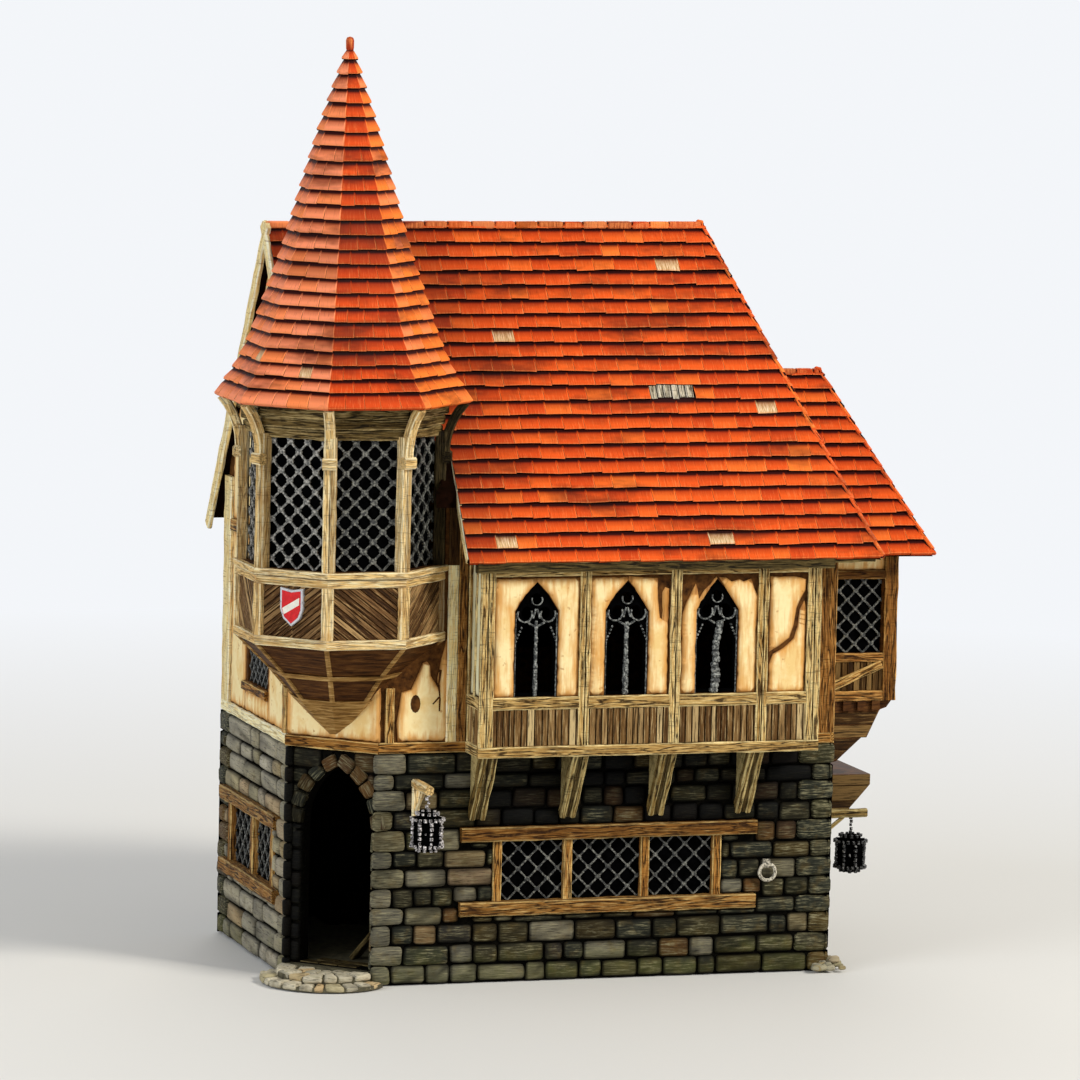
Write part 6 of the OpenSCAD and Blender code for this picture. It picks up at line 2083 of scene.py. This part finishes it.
def build_lantern(name, face, out, top, reach, drop, arm_wood, silver):
    """Caged lantern that hangs by a short chain from a timber arm on a wall."""
    arm = Shape(132)
    box(arm, face, -1.2, 1.2, 0, reach, top - 2.4, top, wear=0.2, chamfer=0.5)
    box(arm, face, -1.1, 1.1, 0, 1.2, top - drop, top - 2.2, wear=0.2, chamfer=0.4)
    along = Vector((face.ax, face.ay, 0))
    foot = Vector(face.at(0, 1.0, top - drop + 2.4))
    head = Vector(face.at(0, reach * 0.6, top - 2.2))
    beam(arm, foot, head, along, (head - foot).normalized().cross(along), 1.0, 1.0, wear=0.1)
    arm.build(name + "_lantern_arm", arm_wood, "timber", name + "_lantern_bracket")

    body, beads = Shape(133), Shape(134)
    top -= 8.7
    foot = top - 8.0

    def bead(u, w, z, size):
        at = Vector(face.at(u, out + w, z))
        fat = size * beads.rng.uniform(0.75, 1.2)
        beam(beads, at - Vector((0, 0, fat)), at + Vector((0, 0, fat)), (1, 0, 0), (0, 1, 0),
             2 * fat, 2 * fat, wear=0.06, chamfer=fat * 0.6)
    for radius, z0, z1 in ((3.9, foot + 0.6, top - 0.6), (4.3, top - 0.7, top),
                           (3.0, top, top + 1.2), (4.2, foot, foot + 0.7), (2.4, foot - 1.1, foot)):
        block(body, face.ground(oval(0, out, radius, radius, 8)), z0, z1)
    for radius, z, count in ((4.4, top - 0.35, 19), (4.3, foot + 0.35, 19), (3.0, top + 1.2, 11),
                             (2.6, foot - 0.8, 9)):
        for u, w in oval(0, 0, radius, radius, count):
            bead(u, w, z, 0.4)
    for u, w in oval(0, 0, 4.2, 4.2, 8):
        for step in range(1, 6):
            bead(u, w, foot + 8 * step / 6, 0.42)
    for u, w in oval(0, 0, 3.9, 3.9, 16)[1::4]:
        bead(u * 1.02, w * 1.02, foot + 4, 0.3)
    for k in range(5):
        bead(0.25 * (-1) ** k, 0.0, top + 2.0 + k * 1.05, 0.42)
    body.build(name + "_lantern_body", GLASS, "iron", name + "_lantern")
    beads.build(name + "_lantern_cage", silver, "iron")


SKY = (0.90, 0.92, 0.95, 1)
PHOTO_PIXELS = 1080
SENSOR = 36


def build_view():
    """Pale room: the world and the far floor are white to the camera alone."""
    world = bpy.data.worlds.new("soft_room")
    bpy.context.scene.world = world
    world.use_nodes = True
    tree = world.node_tree
    shown = tree.nodes.new("ShaderNodeMix")
    shown.data_type = "FLOAT"
    tree.links.new(seen_ray(tree), shown.inputs[0])
    shown.inputs[2].default_value = 0.42
    shown.inputs[3].default_value = 1.0
    tree.nodes["Background"].inputs[0].default_value = SKY
    tree.links.new(shown.outputs[0], tree.nodes["Background"].inputs[1])

    p = Paint("floor", 0.85, 0.1)
    p.put((222, 221, 217), p.shader.inputs["Base Color"])
    c = p.node("ShaderNodeTexCoord")
    far = p.node("ShaderNodeVectorMath", operation="LENGTH")
    p.link(c.outputs["Object"], far.inputs[0])
    blend = p.times(p.ramp(far.outputs["Value"], (0.22, 0.0), (0.75, 1.0)), seen_ray(p.tree))
    glow = p.node("ShaderNodeEmission")
    glow.inputs[0].default_value = SKY
    both = p.node("ShaderNodeMixShader")
    p.link(blend, both.inputs[0])
    p.link(p.shader.outputs[0], both.inputs[1])
    p.link(glow.outputs[0], both.inputs[2])
    p.link(both.outputs[0], p.tree.nodes["Material Output"].inputs[0])
    floor = bpy.data.meshes.new("floor")
    floor.from_pydata([(x, y, -0.0003) for x, y in rect(-6, 6, -6, 6)], [], [[0, 1, 2, 3]])
    floor.materials.append(p.mat)
    place_piece("floor", floor)

    def lamp(name, at, size, power, colour):
        data = bpy.data.lights.new(name, "AREA")
        data.size = size
        data.energy = power
        data.color = colour
        obj = place_piece(name, data)
        obj.location = at
        aim = Vector((0, 0, 0.11)) - Vector(at)
        obj.rotation_euler = aim.to_track_quat("-Z", "Y").to_euler()
    lamp("key", (0.95, -1.05, 1.1), 0.4, 24, (1.0, 0.95, 0.86))
    lamp("left_fill", (-1.3, -0.6, 0.6), 0.8, 9, (0.90, 0.94, 1.0))
    lamp("back_fill", (0.3, 1.3, 0.9), 0.9, 7, (1.0, 0.98, 0.95))

    az, el, roll = math.radians(17.73), math.radians(6.65), math.radians(1.29)
    target = pt(71.06, 17.5, 120.0)
    ahead = Vector((math.sin(az) * math.cos(el), math.cos(az) * math.cos(el), -math.sin(el)))
    right = Vector((math.cos(az), -math.sin(az), 0))
    up = right.cross(ahead)
    r2 = right * math.cos(roll) + up * math.sin(roll)
    u2 = up * math.cos(roll) - right * math.sin(roll)
    cam = bpy.data.cameras.new("camera")
    cam.sensor_width = SENSOR
    cam.lens = 6343 / PHOTO_PIXELS * SENSOR
    cam.clip_end = 50
    obj = place_piece("camera", cam)
    rot = Matrix((r2, u2, -ahead)).transposed().to_4x4()
    obj.matrix_world = Matrix.Translation(target - ahead * 1.75) @ rot
    bpy.context.scene.camera = obj
    bpy.context.scene.view_settings.view_transform = "Standard"


for build in (build_view, build_stone_storey, build_doorway, build_windows, build_stone_timbers,
              build_upper_timbers, build_bay, build_plaster, build_turret, build_main_roof,
              build_roof_edges, build_oriel_roof, build_spire, build_oriel, build_fittings):
    build()
